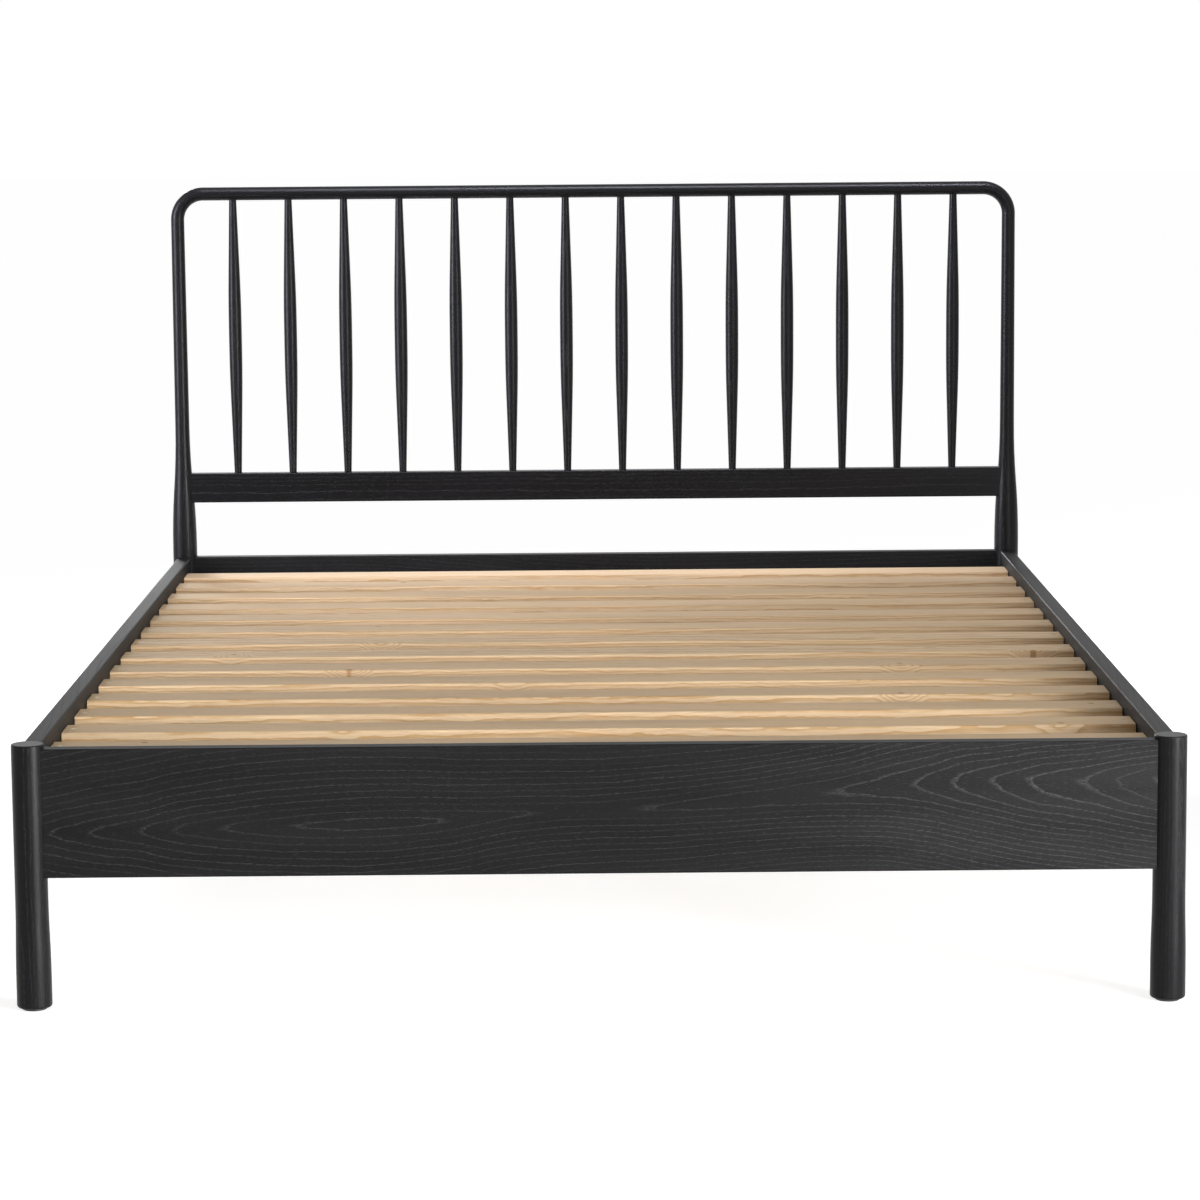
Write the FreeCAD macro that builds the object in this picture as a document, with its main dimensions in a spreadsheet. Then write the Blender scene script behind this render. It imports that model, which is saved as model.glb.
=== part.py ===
import FreeCAD, Part
import os
import re
import Sketcher

# A spindle-back bed frame for a 1500 x 2000 mattress. Millimetres, +Z up, +Y towards the headboard.
# The origin is on the floor under the middle of the frame.

SIZES = {
    # mattress that the frame is made for, and the room left round it
    "mattress_width": 1500,
    "mattress_length": 2000,
    "mattress_gap": 13,
    # foot, head and side rails
    "rail_thick": 25,
    "rail_height": 178,
    "rail_ground": 184,
    "rail_round": 2.5,
    # turned posts
    "post_diameter": 45,
    "post_rise": 6,
    "post_top_round": 2,
    "foot_flare": 1.7,
    "foot_straight": 45,
    "flare_height": 110,
    "foot_round": 4,
    "housing_depth": 7,
    # glides under the posts
    "glide_diameter": 34,
    "glide_thick": 3,
    "glide_round": 1,
    "glide_pin_diameter": 5,
    "glide_pin_length": 16,
    # headboard hoop
    "headboard_height": 1055,
    "neck_rise": 12,
    "neck_height": 226,
    "neck_diameter": 26.5,
    "neck_housing_depth": 4.25,
    "hoop_diameter": 24.5,
    "hoop_bend": 48,
    # spindles and the rail that holds their lower ends
    "spindle_count": 14,
    "spindle_waist": 24,
    "spindle_tip": 13.5,
    "spindle_taper_share": 0.368,
    "spindle_ease_share": 0.088,
    "spindle_tenon": 13,
    "spindle_rail_thick": 24,
    "spindle_rail_height": 55,
    "spindle_rail_ground": 465,
    # dowels, all alike
    "dowel_diameter": 10,
    "dowel_length": 40,
    "dowel_chamfer": 1.5,
    "dowel_edge": 30,
    # knock-down fittings of the side rails
    "stud_diameter": 8,
    "stud_chamfer": 1,
    "stud_edge": 60,
    "stud_tail": 5,
    "insert_diameter": 12,
    "insert_length": 20,
    "pocket_diameter": 32,
    "pocket_inset": 55,
    "pocket_floor": 4,
    "washer_width": 16,
    "washer_thick": 8,
    "nut_flats": 13,
    "nut_height": 6.5,
    # ledges on the side rails that carry the slats
    "ledge_thick": 28,
    "ledge_height": 30,
    "ledge_inset": 78,
    "ledge_round": 1.5,
    # slats
    "slat_count": 14,
    "slat_width": 70,
    "slat_thick": 18,
    "slat_round": 3,
    "slat_drop": 20,
    "slat_play": 1.5,
    # wood screws
    "screw_diameter": 4,
    "screw_tip": 5,
    "screw_head_diameter": 8,
    "screw_head_height": 3,
    "screw_sink": 0.6,
    "slat_screw_length": 38,
    "ledge_screw_length": 42,
    "hanger_screw_length": 20,
    # centre beam and the steel hangers at its ends
    "beam_width": 45,
    "beam_height": 85,
    "beam_round": 2,
    "beam_play": 1.5,
    "hanger_thick": 2.5,
    "hanger_reach": 45,
    "hanger_flange": 24,
    "hanger_height": 70,
    "hanger_hole_edge": 15,
    # centre leg and its levelling foot
    "leg_diameter": 45,
    "leg_ground": 30,
    "leg_round": 2,
    "leg_bolt_diameter": 8,
    "leg_bolt_length": 60,
    "leg_insert_diameter": 14,
    "leg_insert_length": 20,
    "leg_bore_diameter": 10,
    "leg_bore_length": 48,
    "pad_diameter": 44,
    "pad_edge": 4,
    "pad_height": 10,
    "pad_neck_diameter": 20,
    "pad_floor": 3,
    "leveller_diameter": 8,
    "leveller_length": 47,
    "collar_flats": 13,
    "collar_height": 6,
    "collar_rise": 12,
    # clearances and the run-out of cuts
    "glue_gap": 0.1,
    "end_gap": 1,
    "bolt_gap": 0.5,
    "seat_gap": 0.1,
    "thread_gap": 0.1,
    "swivel_gap": 0.3,
    "cut_overrun": 1,
}

doc = FreeCAD.newDocument("spindle_bed")
sheet = doc.addObject("Spreadsheet::Sheet", "dims")
for row, (alias, number) in enumerate(SIZES.items(), start=1):
    sheet.set(f"A{row}", str(number))
    sheet.setAlias(f"A{row}", alias)
doc.recompute()

# Places and sizes that follow from the sheet, as expressions
POST_X = "(mattress_width / 2 + mattress_gap + rail_thick / 2)"
POST_Y = "(mattress_length / 2 + mattress_gap + rail_thick / 2)"
POST_TOP = "(rail_ground + rail_height + post_rise)"
POST_RADIUS = "(post_diameter / 2)"
FOOT_RADIUS = "(post_diameter / 2 + foot_flare)"
SEAT = "(post_diameter / 2 - housing_depth)"
RAIL_MIDDLE = "(rail_ground + rail_height / 2)"
END_RAIL_LENGTH = f"(2 * ({POST_X} - {SEAT}))"
SIDE_RAIL_LENGTH = f"(2 * ({POST_Y} - {SEAT}))"
INNER_Y = f"({POST_Y} - rail_thick / 2)"
HOOP_LEVEL = "(headboard_height - hoop_diameter / 2)"
HOOP_SPRING = "(headboard_height - hoop_diameter / 2 - hoop_bend)"
CREST_LENGTH = f"(2 * ({POST_X} - hoop_bend))"
NECK_SEAT = "(neck_diameter / 2 - neck_housing_depth)"
SPINDLE_RAIL_TOP = "(spindle_rail_ground + spindle_rail_height)"
SPINDLE_RAIL_LENGTH = f"(2 * ({POST_X} - {NECK_SEAT}))"
SPINDLE_SPAN = f"(headboard_height - hoop_diameter - {SPINDLE_RAIL_TOP})"
SPINDLE_PITCH = f"(2 * {POST_X} / (spindle_count + 1))"
SLAT_BASE = "(rail_ground + rail_height - slat_drop - slat_thick)"
LEDGE_LENGTH = f"({SIDE_RAIL_LENGTH} - 2 * ledge_inset)"
LEDGE_X = f"({POST_X} - rail_thick / 2 - ledge_thick / 2)"
LEDGE_LEVEL = f"({SLAT_BASE} - ledge_height / 2)"
SLAT_PITCH = f"(({LEDGE_LENGTH} - slat_width) / (slat_count - 1))"
SLAT_LENGTH = "(mattress_width + 2 * mattress_gap - 2 * slat_play)"
BEAM_BASE = f"({SLAT_BASE} - beam_height)"
BEAM_LENGTH = f"(2 * ({INNER_Y} - hanger_thick - beam_play))"
WASHER_RADIUS = "(pocket_diameter / 2 - seat_gap)"
WASHER_FRONT = f"({WASHER_RADIUS} - washer_thick)"
STUD_BACK = f"({WASHER_FRONT} - nut_height - stud_tail)"
STUD_LENGTH = f"(pocket_inset + insert_length - {STUD_BACK})"
STUD_LEVELS = ("(rail_ground + stud_edge)", "(rail_ground + rail_height - stud_edge)")
DOWEL_OFFSETS = ("(-rail_height / 2 + dowel_edge)", "0", "(rail_height / 2 - dowel_edge)")
HANGER_HOLE_X = "(beam_width / 2 + seat_gap + hanger_thick + hanger_flange / 2)"
HANGER_HOLE_LEVELS = ("hanger_hole_edge", "(hanger_height - hanger_hole_edge)")

SPINDLES = SIZES["spindle_count"]
SLATS = SIZES["slat_count"]
SIDES = {"left": -1, "right": 1}
ENDS = {"foot": -1, "head": 1}
ALONG_Y = FreeCAD.Rotation(FreeCAD.Vector(0, 0, 1), 90)
ABOUT_FACE = FreeCAD.Rotation(FreeCAD.Vector(0, 0, 1), 180)
UP = FreeCAD.Vector(0, 0, 1)
WORD = re.compile(r"[a-z][a-z0-9_]*")
nodes = []


def spell(words):
    return WORD.sub(lambda found: f"dims.{found[0]}" if found[0] in SIZES else found[0], words)


def measure(words):
    result = sheet.evalExpression(spell(words))
    return float(getattr(result, "Value", result))


def bind(thing, **sizes):
    for name, words in sizes.items():
        thing.setExpression(name.replace("__", "."), spell(words))


def place(thing, x, y, z, turn=FreeCAD.Rotation()):
    thing.Placement = FreeCAD.Placement(FreeCAD.Vector(), turn)
    bind(thing, Placement__Base__x=x, Placement__Base__y=y, Placement__Base__z=z)


def new_body(label, is_node=True):
    body = doc.addObject("PartDesign::Body", label)
    body.Label = label
    if is_node:
        nodes.append(body)
    return body


def arc_between(start, end, radius, turns_left):
    # the shorter arc of that radius from start to end, as a curve that runs anticlockwise
    first, last = (start, end) if turns_left else (end, start)
    chord = last - first
    lift = max(radius * radius - chord.Length ** 2 / 4, 0) ** 0.5
    across = FreeCAD.Vector(-chord.y, chord.x, 0).normalize()
    centre = first + chord / 2 + across * lift
    circle = Part.Circle(centre, UP, radius)
    return Part.ArcOfCircle(circle, circle.parameter(first), circle.parameter(last))


def outline(body, plane, corners):
    # A closed outline. A corner is (across, up), or (across, up, radius, side) where an arc that bends
    # to that side leads on to the next corner.
    sketch = body.newObject("Sketcher::SketchObject", "outline")
    support = next(one for one in body.Origin.OriginFeatures if one.Role == plane)
    sketch.AttachmentSupport = [(support, "")]
    sketch.MapMode = "FlatFace"
    points = [FreeCAD.Vector(measure(corner[0]), measure(corner[1]), 0) for corner in corners]
    ends = []
    for index, corner in enumerate(corners):
        start = points[index]
        end = points[(index + 1) % len(points)]
        if len(corner) == 2:
            sketch.addGeometry(Part.LineSegment(start, end))
            ends.append((1, 2))
            continue
        turns_left = corner[3] == "left"
        sketch.addGeometry(arc_between(start, end, measure(corner[2]), turns_left))
        ends.append((1, 2) if turns_left else (2, 1))
        tie = sketch.addConstraint(Sketcher.Constraint("Radius", index, measure(corner[2])))
        sketch.setExpression(f"Constraints[{tie}]", spell(corner[2]))
    for index in range(len(corners)):
        following = (index + 1) % len(corners)
        sketch.addConstraint(
            Sketcher.Constraint("Coincident", index, ends[index][1], following, ends[following][0])
        )
    for index, corner in enumerate(corners):
        for kind, words, axis in (("DistanceX", corner[0], -2), ("DistanceY", corner[1], -1)):
            if words == "0":
                rule = Sketcher.Constraint("PointOnObject", index, ends[index][0], axis)
                sketch.addConstraint(rule)
                continue
            rule = Sketcher.Constraint(kind, -1, 1, index, ends[index][0], measure(words))
            tie = sketch.addConstraint(rule)
            sketch.setExpression(f"Constraints[{tie}]", spell(words))
    return sketch


def turned(label, corners, is_node=True):
    # a lathe-turned piece about its own Z axis, from its half outline (radius, height)
    body = new_body(label, is_node)
    sketch = outline(body, "XZ_Plane", corners)
    turning = body.newObject("PartDesign::Revolution", "turning")
    turning.Profile = sketch
    turning.ReferenceAxis = (sketch, ["V_Axis"])
    turning.Angle = 360
    return body


def padded(label, plane, corners, length, is_node=True):
    body = new_body(label, is_node)
    pad = body.newObject("PartDesign::Pad", "length")
    pad.Profile = outline(body, plane, corners)
    bind(pad, Length=length)
    return body


def bar(label, wide, high, rounding, length):
    # a straight board along its own X axis, with its long edges rounded and its section centred
    flat_x, flat_y = f"({wide} / 2 - {rounding})", f"({high} / 2 - {rounding})"
    edge_x, edge_y = f"({wide} / 2)", f"({high} / 2)"
    corners = (
        (f"-{flat_x}", f"-{edge_y}"),
        (flat_x, f"-{edge_y}", rounding, "left"),
        (edge_x, f"-{flat_y}"),
        (edge_x, flat_y, rounding, "left"),
        (flat_x, edge_y),
        (f"-{flat_x}", edge_y, rounding, "left"),
        (f"-{edge_x}", flat_y),
        (f"-{edge_x}", f"-{flat_y}", rounding, "left"),
    )
    return padded(label, "YZ_Plane", corners, length)


def drill(body, at, toward, diameter, depth):
    # a round hole from its mouth at a point, along a signed axis such as "-x"
    sign, axis = toward[0], "xyz".index(toward[1])
    direction = FreeCAD.Vector()
    direction[axis] = -1 if sign == "-" else 1
    mouth = list(at)
    mouth[axis] = f"{mouth[axis]} {'+' if sign == '-' else '-'} cut_overrun"
    hole = body.newObject("PartDesign::SubtractiveCylinder", "hole")
    place(hole, *mouth, FreeCAD.Rotation(UP, direction))
    bind(hole, Radius=f"({diameter}) / 2", Height=f"{depth} + cut_overrun")


def countersink(body, at, toward):
    # the conical seat of a screw's head, which sits a little under the surface
    slope = "((screw_head_diameter - screw_diameter) / 2 / screw_head_height)"
    depth = "(screw_sink + screw_head_height)"
    sign, axis = toward[0], "xyz".index(toward[1])
    direction = FreeCAD.Vector()
    direction[axis] = 1 if sign == "-" else -1
    bottom = list(at)
    bottom[axis] = f"{bottom[axis]} {sign} {depth}"
    cone = body.newObject("PartDesign::SubtractiveCone", "countersink")
    place(cone, *bottom, FreeCAD.Rotation(UP, direction))
    bind(
        cone,
        Radius1="screw_diameter / 2 + glue_gap",
        Radius2=f"screw_diameter / 2 + glue_gap + {slope} * ({depth} + cut_overrun)",
        Height=f"{depth} + cut_overrun",
    )


def box(body, kind, low, sizes):
    block = body.newObject(f"PartDesign::{kind}Box", kind.lower())
    place(block, *low)
    bind(block, Length=sizes[0], Width=sizes[1], Height=sizes[2])


def housing(body, facing, seat, wide, ground, high):
    # a flat-bottomed housing in a round post, open towards a signed axis, where a rail's end sits
    reach = f"({POST_RADIUS} + foot_flare + cut_overrun - {seat})"
    near = seat if facing[0] == "+" else f"-({seat} + {reach})"
    side = f"-{wide} / 2"
    if facing[1] == "x":
        box(body, "Subtractive", (near, side, ground), (reach, wide, high))
    else:
        box(body, "Subtractive", (side, near, ground), (wide, reach, high))


def group(label, pattern, places):
    # identical small pieces as one node: each place is (x, y, z, direction of the piece's own Z axis)
    doc.recompute()
    copies = []
    for x, y, z, direction in places:
        copy = pattern.Shape.copy()
        turn = FreeCAD.Rotation(UP, FreeCAD.Vector(*direction))
        copy.Placement = FreeCAD.Placement(FreeCAD.Vector(measure(x), measure(y), measure(z)), turn)
        copies.append(copy)
    node = doc.addObject("Part::Feature", label)
    node.Label = label
    node.Shape = Part.makeCompound(copies)
    node.Placement = FreeCAD.Placement()
    nodes.append(node)


def bulge(wide, high):
    # radius of the two equal arcs of a smooth step that goes sideways by wide over a height
    return f"((({high}) / 2) ^ 2 + (({wide}) / 2) ^ 2) / ({wide})"


def signed(sign):
    return "-" if sign < 0 else "+"


# Posts
FLARE_TOP = "(foot_straight + flare_height)"
FLARE_ARC = bulge("foot_flare", "flare_height")
FOOT_CORNERS = (
    ("0", "glide_thick"),
    (f"{FOOT_RADIUS} - foot_round", "glide_thick", "foot_round", "left"),
    (FOOT_RADIUS, "glide_thick + foot_round"),
    (FOOT_RADIUS, "foot_straight", FLARE_ARC, "left"),
    (f"{POST_RADIUS} + foot_flare / 2", "foot_straight + flare_height / 2", FLARE_ARC, "right"),
    (POST_RADIUS, FLARE_TOP),
)
FOOT_POST_CORNERS = FOOT_CORNERS + (
    (POST_RADIUS, f"{POST_TOP} - post_top_round", "post_top_round", "left"),
    (f"{POST_RADIUS} - post_top_round", POST_TOP),
    ("0", POST_TOP),
)
NECK_STEP = f"({POST_RADIUS} - neck_diameter / 2)"
NECK_ARC = bulge(NECK_STEP, "neck_height")
NECK_BASE = f"({POST_TOP} + neck_rise)"
HEAD_POST_CORNERS = FOOT_CORNERS + (
    (POST_RADIUS, NECK_BASE, NECK_ARC, "left"),
    (f"{POST_RADIUS} - {NECK_STEP} / 2", f"{NECK_BASE} + neck_height / 2", NECK_ARC, "right"),
    ("neck_diameter / 2", f"{NECK_BASE} + neck_height"),
    ("hoop_diameter / 2", HOOP_SPRING),
    ("0", HOOP_SPRING),
)
DOWEL_HOLE = "dowel_diameter + 2 * glue_gap"
DOWEL_DEPTH = "(dowel_length / 2 + end_gap)"
SPINDLE_RAIL_MIDDLE = "(spindle_rail_ground + spindle_rail_height / 2)"


def post(end_name, side_name):
    end, side = ENDS[end_name], SIDES[side_name]
    inward_x, inward_y = signed(-side), signed(-end)
    is_head = end_name == "head"
    body = turned(f"{end_name}_post_{side_name}", HEAD_POST_CORNERS if is_head else FOOT_POST_CORNERS)
    place(body, f"{side} * {POST_X}", f"{end} * {POST_Y}", "0")
    housing(body, f"{inward_x}x", SEAT, "rail_thick", "rail_ground", "rail_height")
    housing(body, f"{inward_y}y", SEAT, "rail_thick", "rail_ground", "rail_height")
    outward_x, outward_y = f"{signed(side)}x", f"{signed(end)}y"
    for offset in DOWEL_OFFSETS:
        mouth = (f"{inward_x}{SEAT}", "0", f"{RAIL_MIDDLE} + {offset}")
        drill(body, mouth, outward_x, DOWEL_HOLE, DOWEL_DEPTH)
    for level in STUD_LEVELS:
        mouth = ("0", f"{inward_y}{SEAT}", level)
        drill(body, mouth, outward_y, "insert_diameter + 2 * glue_gap", "(insert_length + end_gap)")
    pin_hole = "glide_pin_diameter + 2 * glue_gap"
    drill(body, ("0", "0", "glide_thick"), "+z", pin_hole, "(glide_pin_length + end_gap)")
    if is_head:
        rail_end = ("spindle_rail_thick", "spindle_rail_ground", "spindle_rail_height")
        housing(body, f"{inward_x}x", NECK_SEAT, *rail_end)
        mouth = (f"{inward_x}{NECK_SEAT}", "0", SPINDLE_RAIL_MIDDLE)
        drill(body, mouth, outward_x, DOWEL_HOLE, DOWEL_DEPTH)
        drill(body, ("0", "0", HOOP_SPRING), "-z", DOWEL_HOLE, DOWEL_DEPTH)


for end_name in ENDS:
    for side_name in SIDES:
        post(end_name, side_name)


# Foot and head rails, dowelled to the posts
def end_rail(end_name):
    end = ENDS[end_name]
    rail = bar(f"{end_name}_rail", "rail_thick", "rail_height", "rail_round", END_RAIL_LENGTH)
    place(rail, f"-{END_RAIL_LENGTH} / 2", f"{end} * {POST_Y}", RAIL_MIDDLE)
    for offset in DOWEL_OFFSETS:
        drill(rail, ("0", "0", offset), "+x", DOWEL_HOLE, DOWEL_DEPTH)
        drill(rail, (END_RAIL_LENGTH, "0", offset), "-x", DOWEL_HOLE, DOWEL_DEPTH)
    inner_face = f"{signed(-end)} rail_thick / 2"
    for hole_level in HANGER_HOLE_LEVELS:
        level = f"{BEAM_BASE} - hanger_thick + {hole_level} - {RAIL_MIDDLE}"
        for side in SIDES.values():
            mouth = (f"{END_RAIL_LENGTH} / 2 + {side} * {HANGER_HOLE_X}", inner_face, level)
            depth = "(hanger_screw_length - hanger_thick + end_gap)"
            drill(rail, mouth, f"{signed(end)}y", "screw_diameter + 2 * glue_gap", depth)


for end_name in ENDS:
    end_rail(end_name)


# Side rails, with pockets for the knock-down fittings in their inner faces
def ledge_screw_run(index):
    return f"(slat_width / 2 + {2 * index + 1} / 2 * {SLAT_PITCH})"


LEDGE_SCREWS = range(0, SLATS - 1, 2)
POCKET_DEPTH = "(rail_thick - pocket_floor)"


def side_rail(side_name):
    side = SIDES[side_name]
    rail = bar(f"side_rail_{side_name}", "rail_thick", "rail_height", "rail_round", SIDE_RAIL_LENGTH)
    place(rail, f"{side} * {POST_X}", f"-{SIDE_RAIL_LENGTH} / 2", RAIL_MIDDLE, ALONG_Y)
    inner_face = f"{signed(side)} rail_thick / 2"
    outward = f"{signed(-side)}y"
    for level in STUD_LEVELS:
        height = f"{level} - {RAIL_MIDDLE}"
        bolt_hole = "stud_diameter + 2 * bolt_gap"
        drill(rail, ("0", "0", height), "+x", bolt_hole, "pocket_inset")
        drill(rail, (SIDE_RAIL_LENGTH, "0", height), "-x", bolt_hole, "pocket_inset")
        for along in ("pocket_inset", f"{SIDE_RAIL_LENGTH} - pocket_inset"):
            drill(rail, (along, inner_face, height), outward, "pocket_diameter", POCKET_DEPTH)
    for index in LEDGE_SCREWS:
        mouth = (f"ledge_inset + {ledge_screw_run(index)}", inner_face, f"{LEDGE_LEVEL} - {RAIL_MIDDLE}")
        depth = "(ledge_screw_length + screw_sink - ledge_thick + end_gap)"
        drill(rail, mouth, outward, "screw_diameter + 2 * glue_gap", depth)


for side_name in SIDES:
    side_rail(side_name)


# Hoop of the headboard: two quarter bends and a straight crest rail
def hoop_corner(side_name):
    side = SIDES[side_name]
    body = new_body(f"hoop_corner_{side_name}")
    sketch = body.newObject("Sketcher::SketchObject", "section")
    support = next(one for one in body.Origin.OriginFeatures if one.Role == "XZ_Plane")
    sketch.AttachmentSupport = [(support, "")]
    sketch.MapMode = "FlatFace"
    centre = FreeCAD.Vector(measure("hoop_bend"), 0, 0)
    sketch.addGeometry(Part.Circle(centre, UP, measure("hoop_diameter / 2")))
    sketch.addConstraint(Sketcher.Constraint("PointOnObject", 0, 3, -1))
    reach = sketch.addConstraint(Sketcher.Constraint("DistanceX", -1, 1, 0, 3, measure("hoop_bend")))
    sketch.setExpression(f"Constraints[{reach}]", spell("hoop_bend"))
    across = sketch.addConstraint(Sketcher.Constraint("Diameter", 0, measure("hoop_diameter")))
    sketch.setExpression(f"Constraints[{across}]", spell("hoop_diameter"))
    bend = body.newObject("PartDesign::Revolution", "bend")
    bend.Profile = sketch
    bend.ReferenceAxis = (sketch, ["V_Axis"])
    bend.Angle = 90
    drill(body, ("hoop_bend", "0", "0"), "+y", DOWEL_HOLE, DOWEL_DEPTH)
    drill(body, ("0", "hoop_bend", "0"), "+x", DOWEL_HOLE, DOWEL_DEPTH)
    upright = FreeCAD.Rotation(FreeCAD.Vector(1, 0, 0), 90)
    turn = upright if side > 0 else ABOUT_FACE * upright
    place(body, f"{side} * ({POST_X} - hoop_bend)", POST_Y, HOOP_SPRING, turn)


for side_name in SIDES:
    hoop_corner(side_name)


def spindle_run(index):
    return f"({index + 1} * {SPINDLE_PITCH} - {POST_X})"


SPINDLE_HOLE = "spindle_tip + 2 * glue_gap"
crest = new_body("crest_rail")
crest_bar = crest.newObject("PartDesign::AdditiveCylinder", "crest")
place(crest_bar, "0", "0", "0", FreeCAD.Rotation(UP, FreeCAD.Vector(1, 0, 0)))
bind(crest_bar, Radius="hoop_diameter / 2", Height=CREST_LENGTH)
place(crest, f"-{CREST_LENGTH} / 2", POST_Y, HOOP_LEVEL)
drill(crest, ("0", "0", "0"), "+x", DOWEL_HOLE, DOWEL_DEPTH)
drill(crest, (CREST_LENGTH, "0", "0"), "-x", DOWEL_HOLE, DOWEL_DEPTH)
for index in range(SPINDLES):
    mouth = (f"{CREST_LENGTH} / 2 + {spindle_run(index)}", "0", "-hoop_diameter / 2")
    drill(crest, mouth, "+z", SPINDLE_HOLE, "(spindle_tenon + end_gap)")

spindle_rail = bar(
    "spindle_rail", "spindle_rail_thick", "spindle_rail_height", "rail_round", SPINDLE_RAIL_LENGTH
)
place(spindle_rail, f"-{SPINDLE_RAIL_LENGTH} / 2", POST_Y, SPINDLE_RAIL_MIDDLE)
drill(spindle_rail, ("0", "0", "0"), "+x", DOWEL_HOLE, DOWEL_DEPTH)
drill(spindle_rail, (SPINDLE_RAIL_LENGTH, "0", "0"), "-x", DOWEL_HOLE, DOWEL_DEPTH)
for index in range(SPINDLES):
    mouth = (f"{SPINDLE_RAIL_LENGTH} / 2 + {spindle_run(index)}", "0", "spindle_rail_height / 2")
    drill(spindle_rail, mouth, "-z", SPINDLE_HOLE, "(spindle_tenon + end_gap)")

# Spindles: a straight taper from each end, eased into a parallel middle
TAPER = f"({SPINDLE_SPAN} * spindle_taper_share)"
EASE = f"({SPINDLE_SPAN} * spindle_ease_share)"
TAPER_SLOPE = f"((spindle_waist - spindle_tip) / 2 / {TAPER})"
TAPER_STRETCH = f"sqrt(1 + {TAPER_SLOPE} ^ 2)"
EASE_ARC = f"({EASE} * {TAPER_SLOPE} / ({TAPER_STRETCH} - 1))"
EASE_RADIUS = f"(spindle_waist / 2 - {EASE} * {TAPER_SLOPE} / {TAPER_STRETCH})"
EASE_START = f"({TAPER} - {EASE} / {TAPER_STRETCH})"
EASE_END = f"({TAPER} + {EASE})"
SPINDLE_CORNERS = (
    ("0", "-spindle_tenon"),
    ("spindle_tip / 2", "-spindle_tenon"),
    ("spindle_tip / 2", "0"),
    (EASE_RADIUS, EASE_START, EASE_ARC, "left"),
    ("spindle_waist / 2", EASE_END),
    ("spindle_waist / 2", f"{SPINDLE_SPAN} - {EASE_END}", EASE_ARC, "left"),
    (EASE_RADIUS, f"{SPINDLE_SPAN} - {EASE_START}"),
    ("spindle_tip / 2", SPINDLE_SPAN),
    ("spindle_tip / 2", f"{SPINDLE_SPAN} + spindle_tenon"),
    ("0", f"{SPINDLE_SPAN} + spindle_tenon"),
)
for index in range(SPINDLES):
    spindle = turned(f"spindle_{index + 1:02d}", SPINDLE_CORNERS)
    place(spindle, spindle_run(index), POST_Y, SPINDLE_RAIL_TOP)


# Ledges that carry the slats, screwed to the side rails
def slat_run(index):
    return f"(slat_width / 2 + {index} * {SLAT_PITCH})"


def slat_ledge(side_name):
    side = SIDES[side_name]
    ledge = bar(f"slat_ledge_{side_name}", "ledge_thick", "ledge_height", "ledge_round", LEDGE_LENGTH)
    place(ledge, f"{side} * {LEDGE_X}", f"-{LEDGE_LENGTH} / 2", LEDGE_LEVEL, ALONG_Y)
    for index in range(SLATS):
        depth = "(slat_screw_length + screw_sink - slat_thick + end_gap)"
        mouth = (slat_run(index), "0", "ledge_height / 2")
        drill(ledge, mouth, "-z", "screw_diameter + 2 * glue_gap", depth)
    for index in LEDGE_SCREWS:
        mouth = (ledge_screw_run(index), f"{signed(side)} ledge_thick / 2", "0")
        outward = f"{signed(-side)}y"
        drill(ledge, mouth, outward, "screw_diameter + 2 * glue_gap", "(ledge_thick + cut_overrun)")
        countersink(ledge, mouth, outward)


for side_name in SIDES:
    slat_ledge(side_name)

# Slats
for index in range(SLATS):
    slat = bar(f"slat_{index + 1:02d}", "slat_width", "slat_thick", "slat_round", SLAT_LENGTH)
    along = f"{slat_run(index)} - {LEDGE_LENGTH} / 2"
    place(slat, f"-{SLAT_LENGTH} / 2", along, f"{SLAT_BASE} + slat_thick / 2")
    for side in SIDES.values():
        mouth = (f"{SLAT_LENGTH} / 2 + {side} * {LEDGE_X}", "0", "slat_thick / 2")
        drill(slat, mouth, "-z", "screw_diameter + 2 * glue_gap", "(slat_thick + cut_overrun)")
        countersink(slat, mouth, "-z")

# Centre beam under the slats, in a steel hanger at each end
BOLT_HOLE = "leg_bolt_diameter + 2 * glue_gap"
BOLT_DEPTH = "(leg_bolt_length / 2 + end_gap)"
beam = bar("centre_beam", "beam_width", "beam_height", "beam_round", BEAM_LENGTH)
place(beam, "0", f"-{BEAM_LENGTH} / 2", f"{BEAM_BASE} + beam_height / 2", ALONG_Y)
drill(beam, (f"{BEAM_LENGTH} / 2", "0", "-beam_height / 2"), "+z", BOLT_HOLE, BOLT_DEPTH)


def beam_hanger(end_name):
    end = ENDS[end_name]
    hanger = new_body(f"beam_hanger_{end_name}")
    towards_middle = ALONG_Y if end < 0 else ALONG_Y.inverted()
    place(hanger, "0", f"{end} * {INNER_Y}", f"{BEAM_BASE} - hanger_thick", towards_middle)
    cheek = "(beam_width / 2 + seat_gap)"
    half_plate = f"({cheek} + hanger_thick + hanger_flange)"
    box(
        hanger,
        "Additive",
        ("0", f"-{half_plate}", "0"),
        ("hanger_thick", f"2 * {half_plate}", "hanger_height"),
    )
    for low in (cheek, f"-({cheek} + hanger_thick)"):
        box(hanger, "Additive", ("0", low, "0"), ("hanger_reach", "hanger_thick", "hanger_height"))
    box(hanger, "Additive", ("0", f"-{cheek}", "0"), ("hanger_reach", f"2 * {cheek}", "hanger_thick"))
    for level in HANGER_HOLE_LEVELS:
        for side in SIDES.values():
            mouth = ("0", f"{side} * {HANGER_HOLE_X}", level)
            drill(hanger, mouth, "+x", "screw_diameter + 2 * glue_gap", "(hanger_thick + cut_overrun)")


for end_name in ENDS:
    beam_hanger(end_name)

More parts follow.
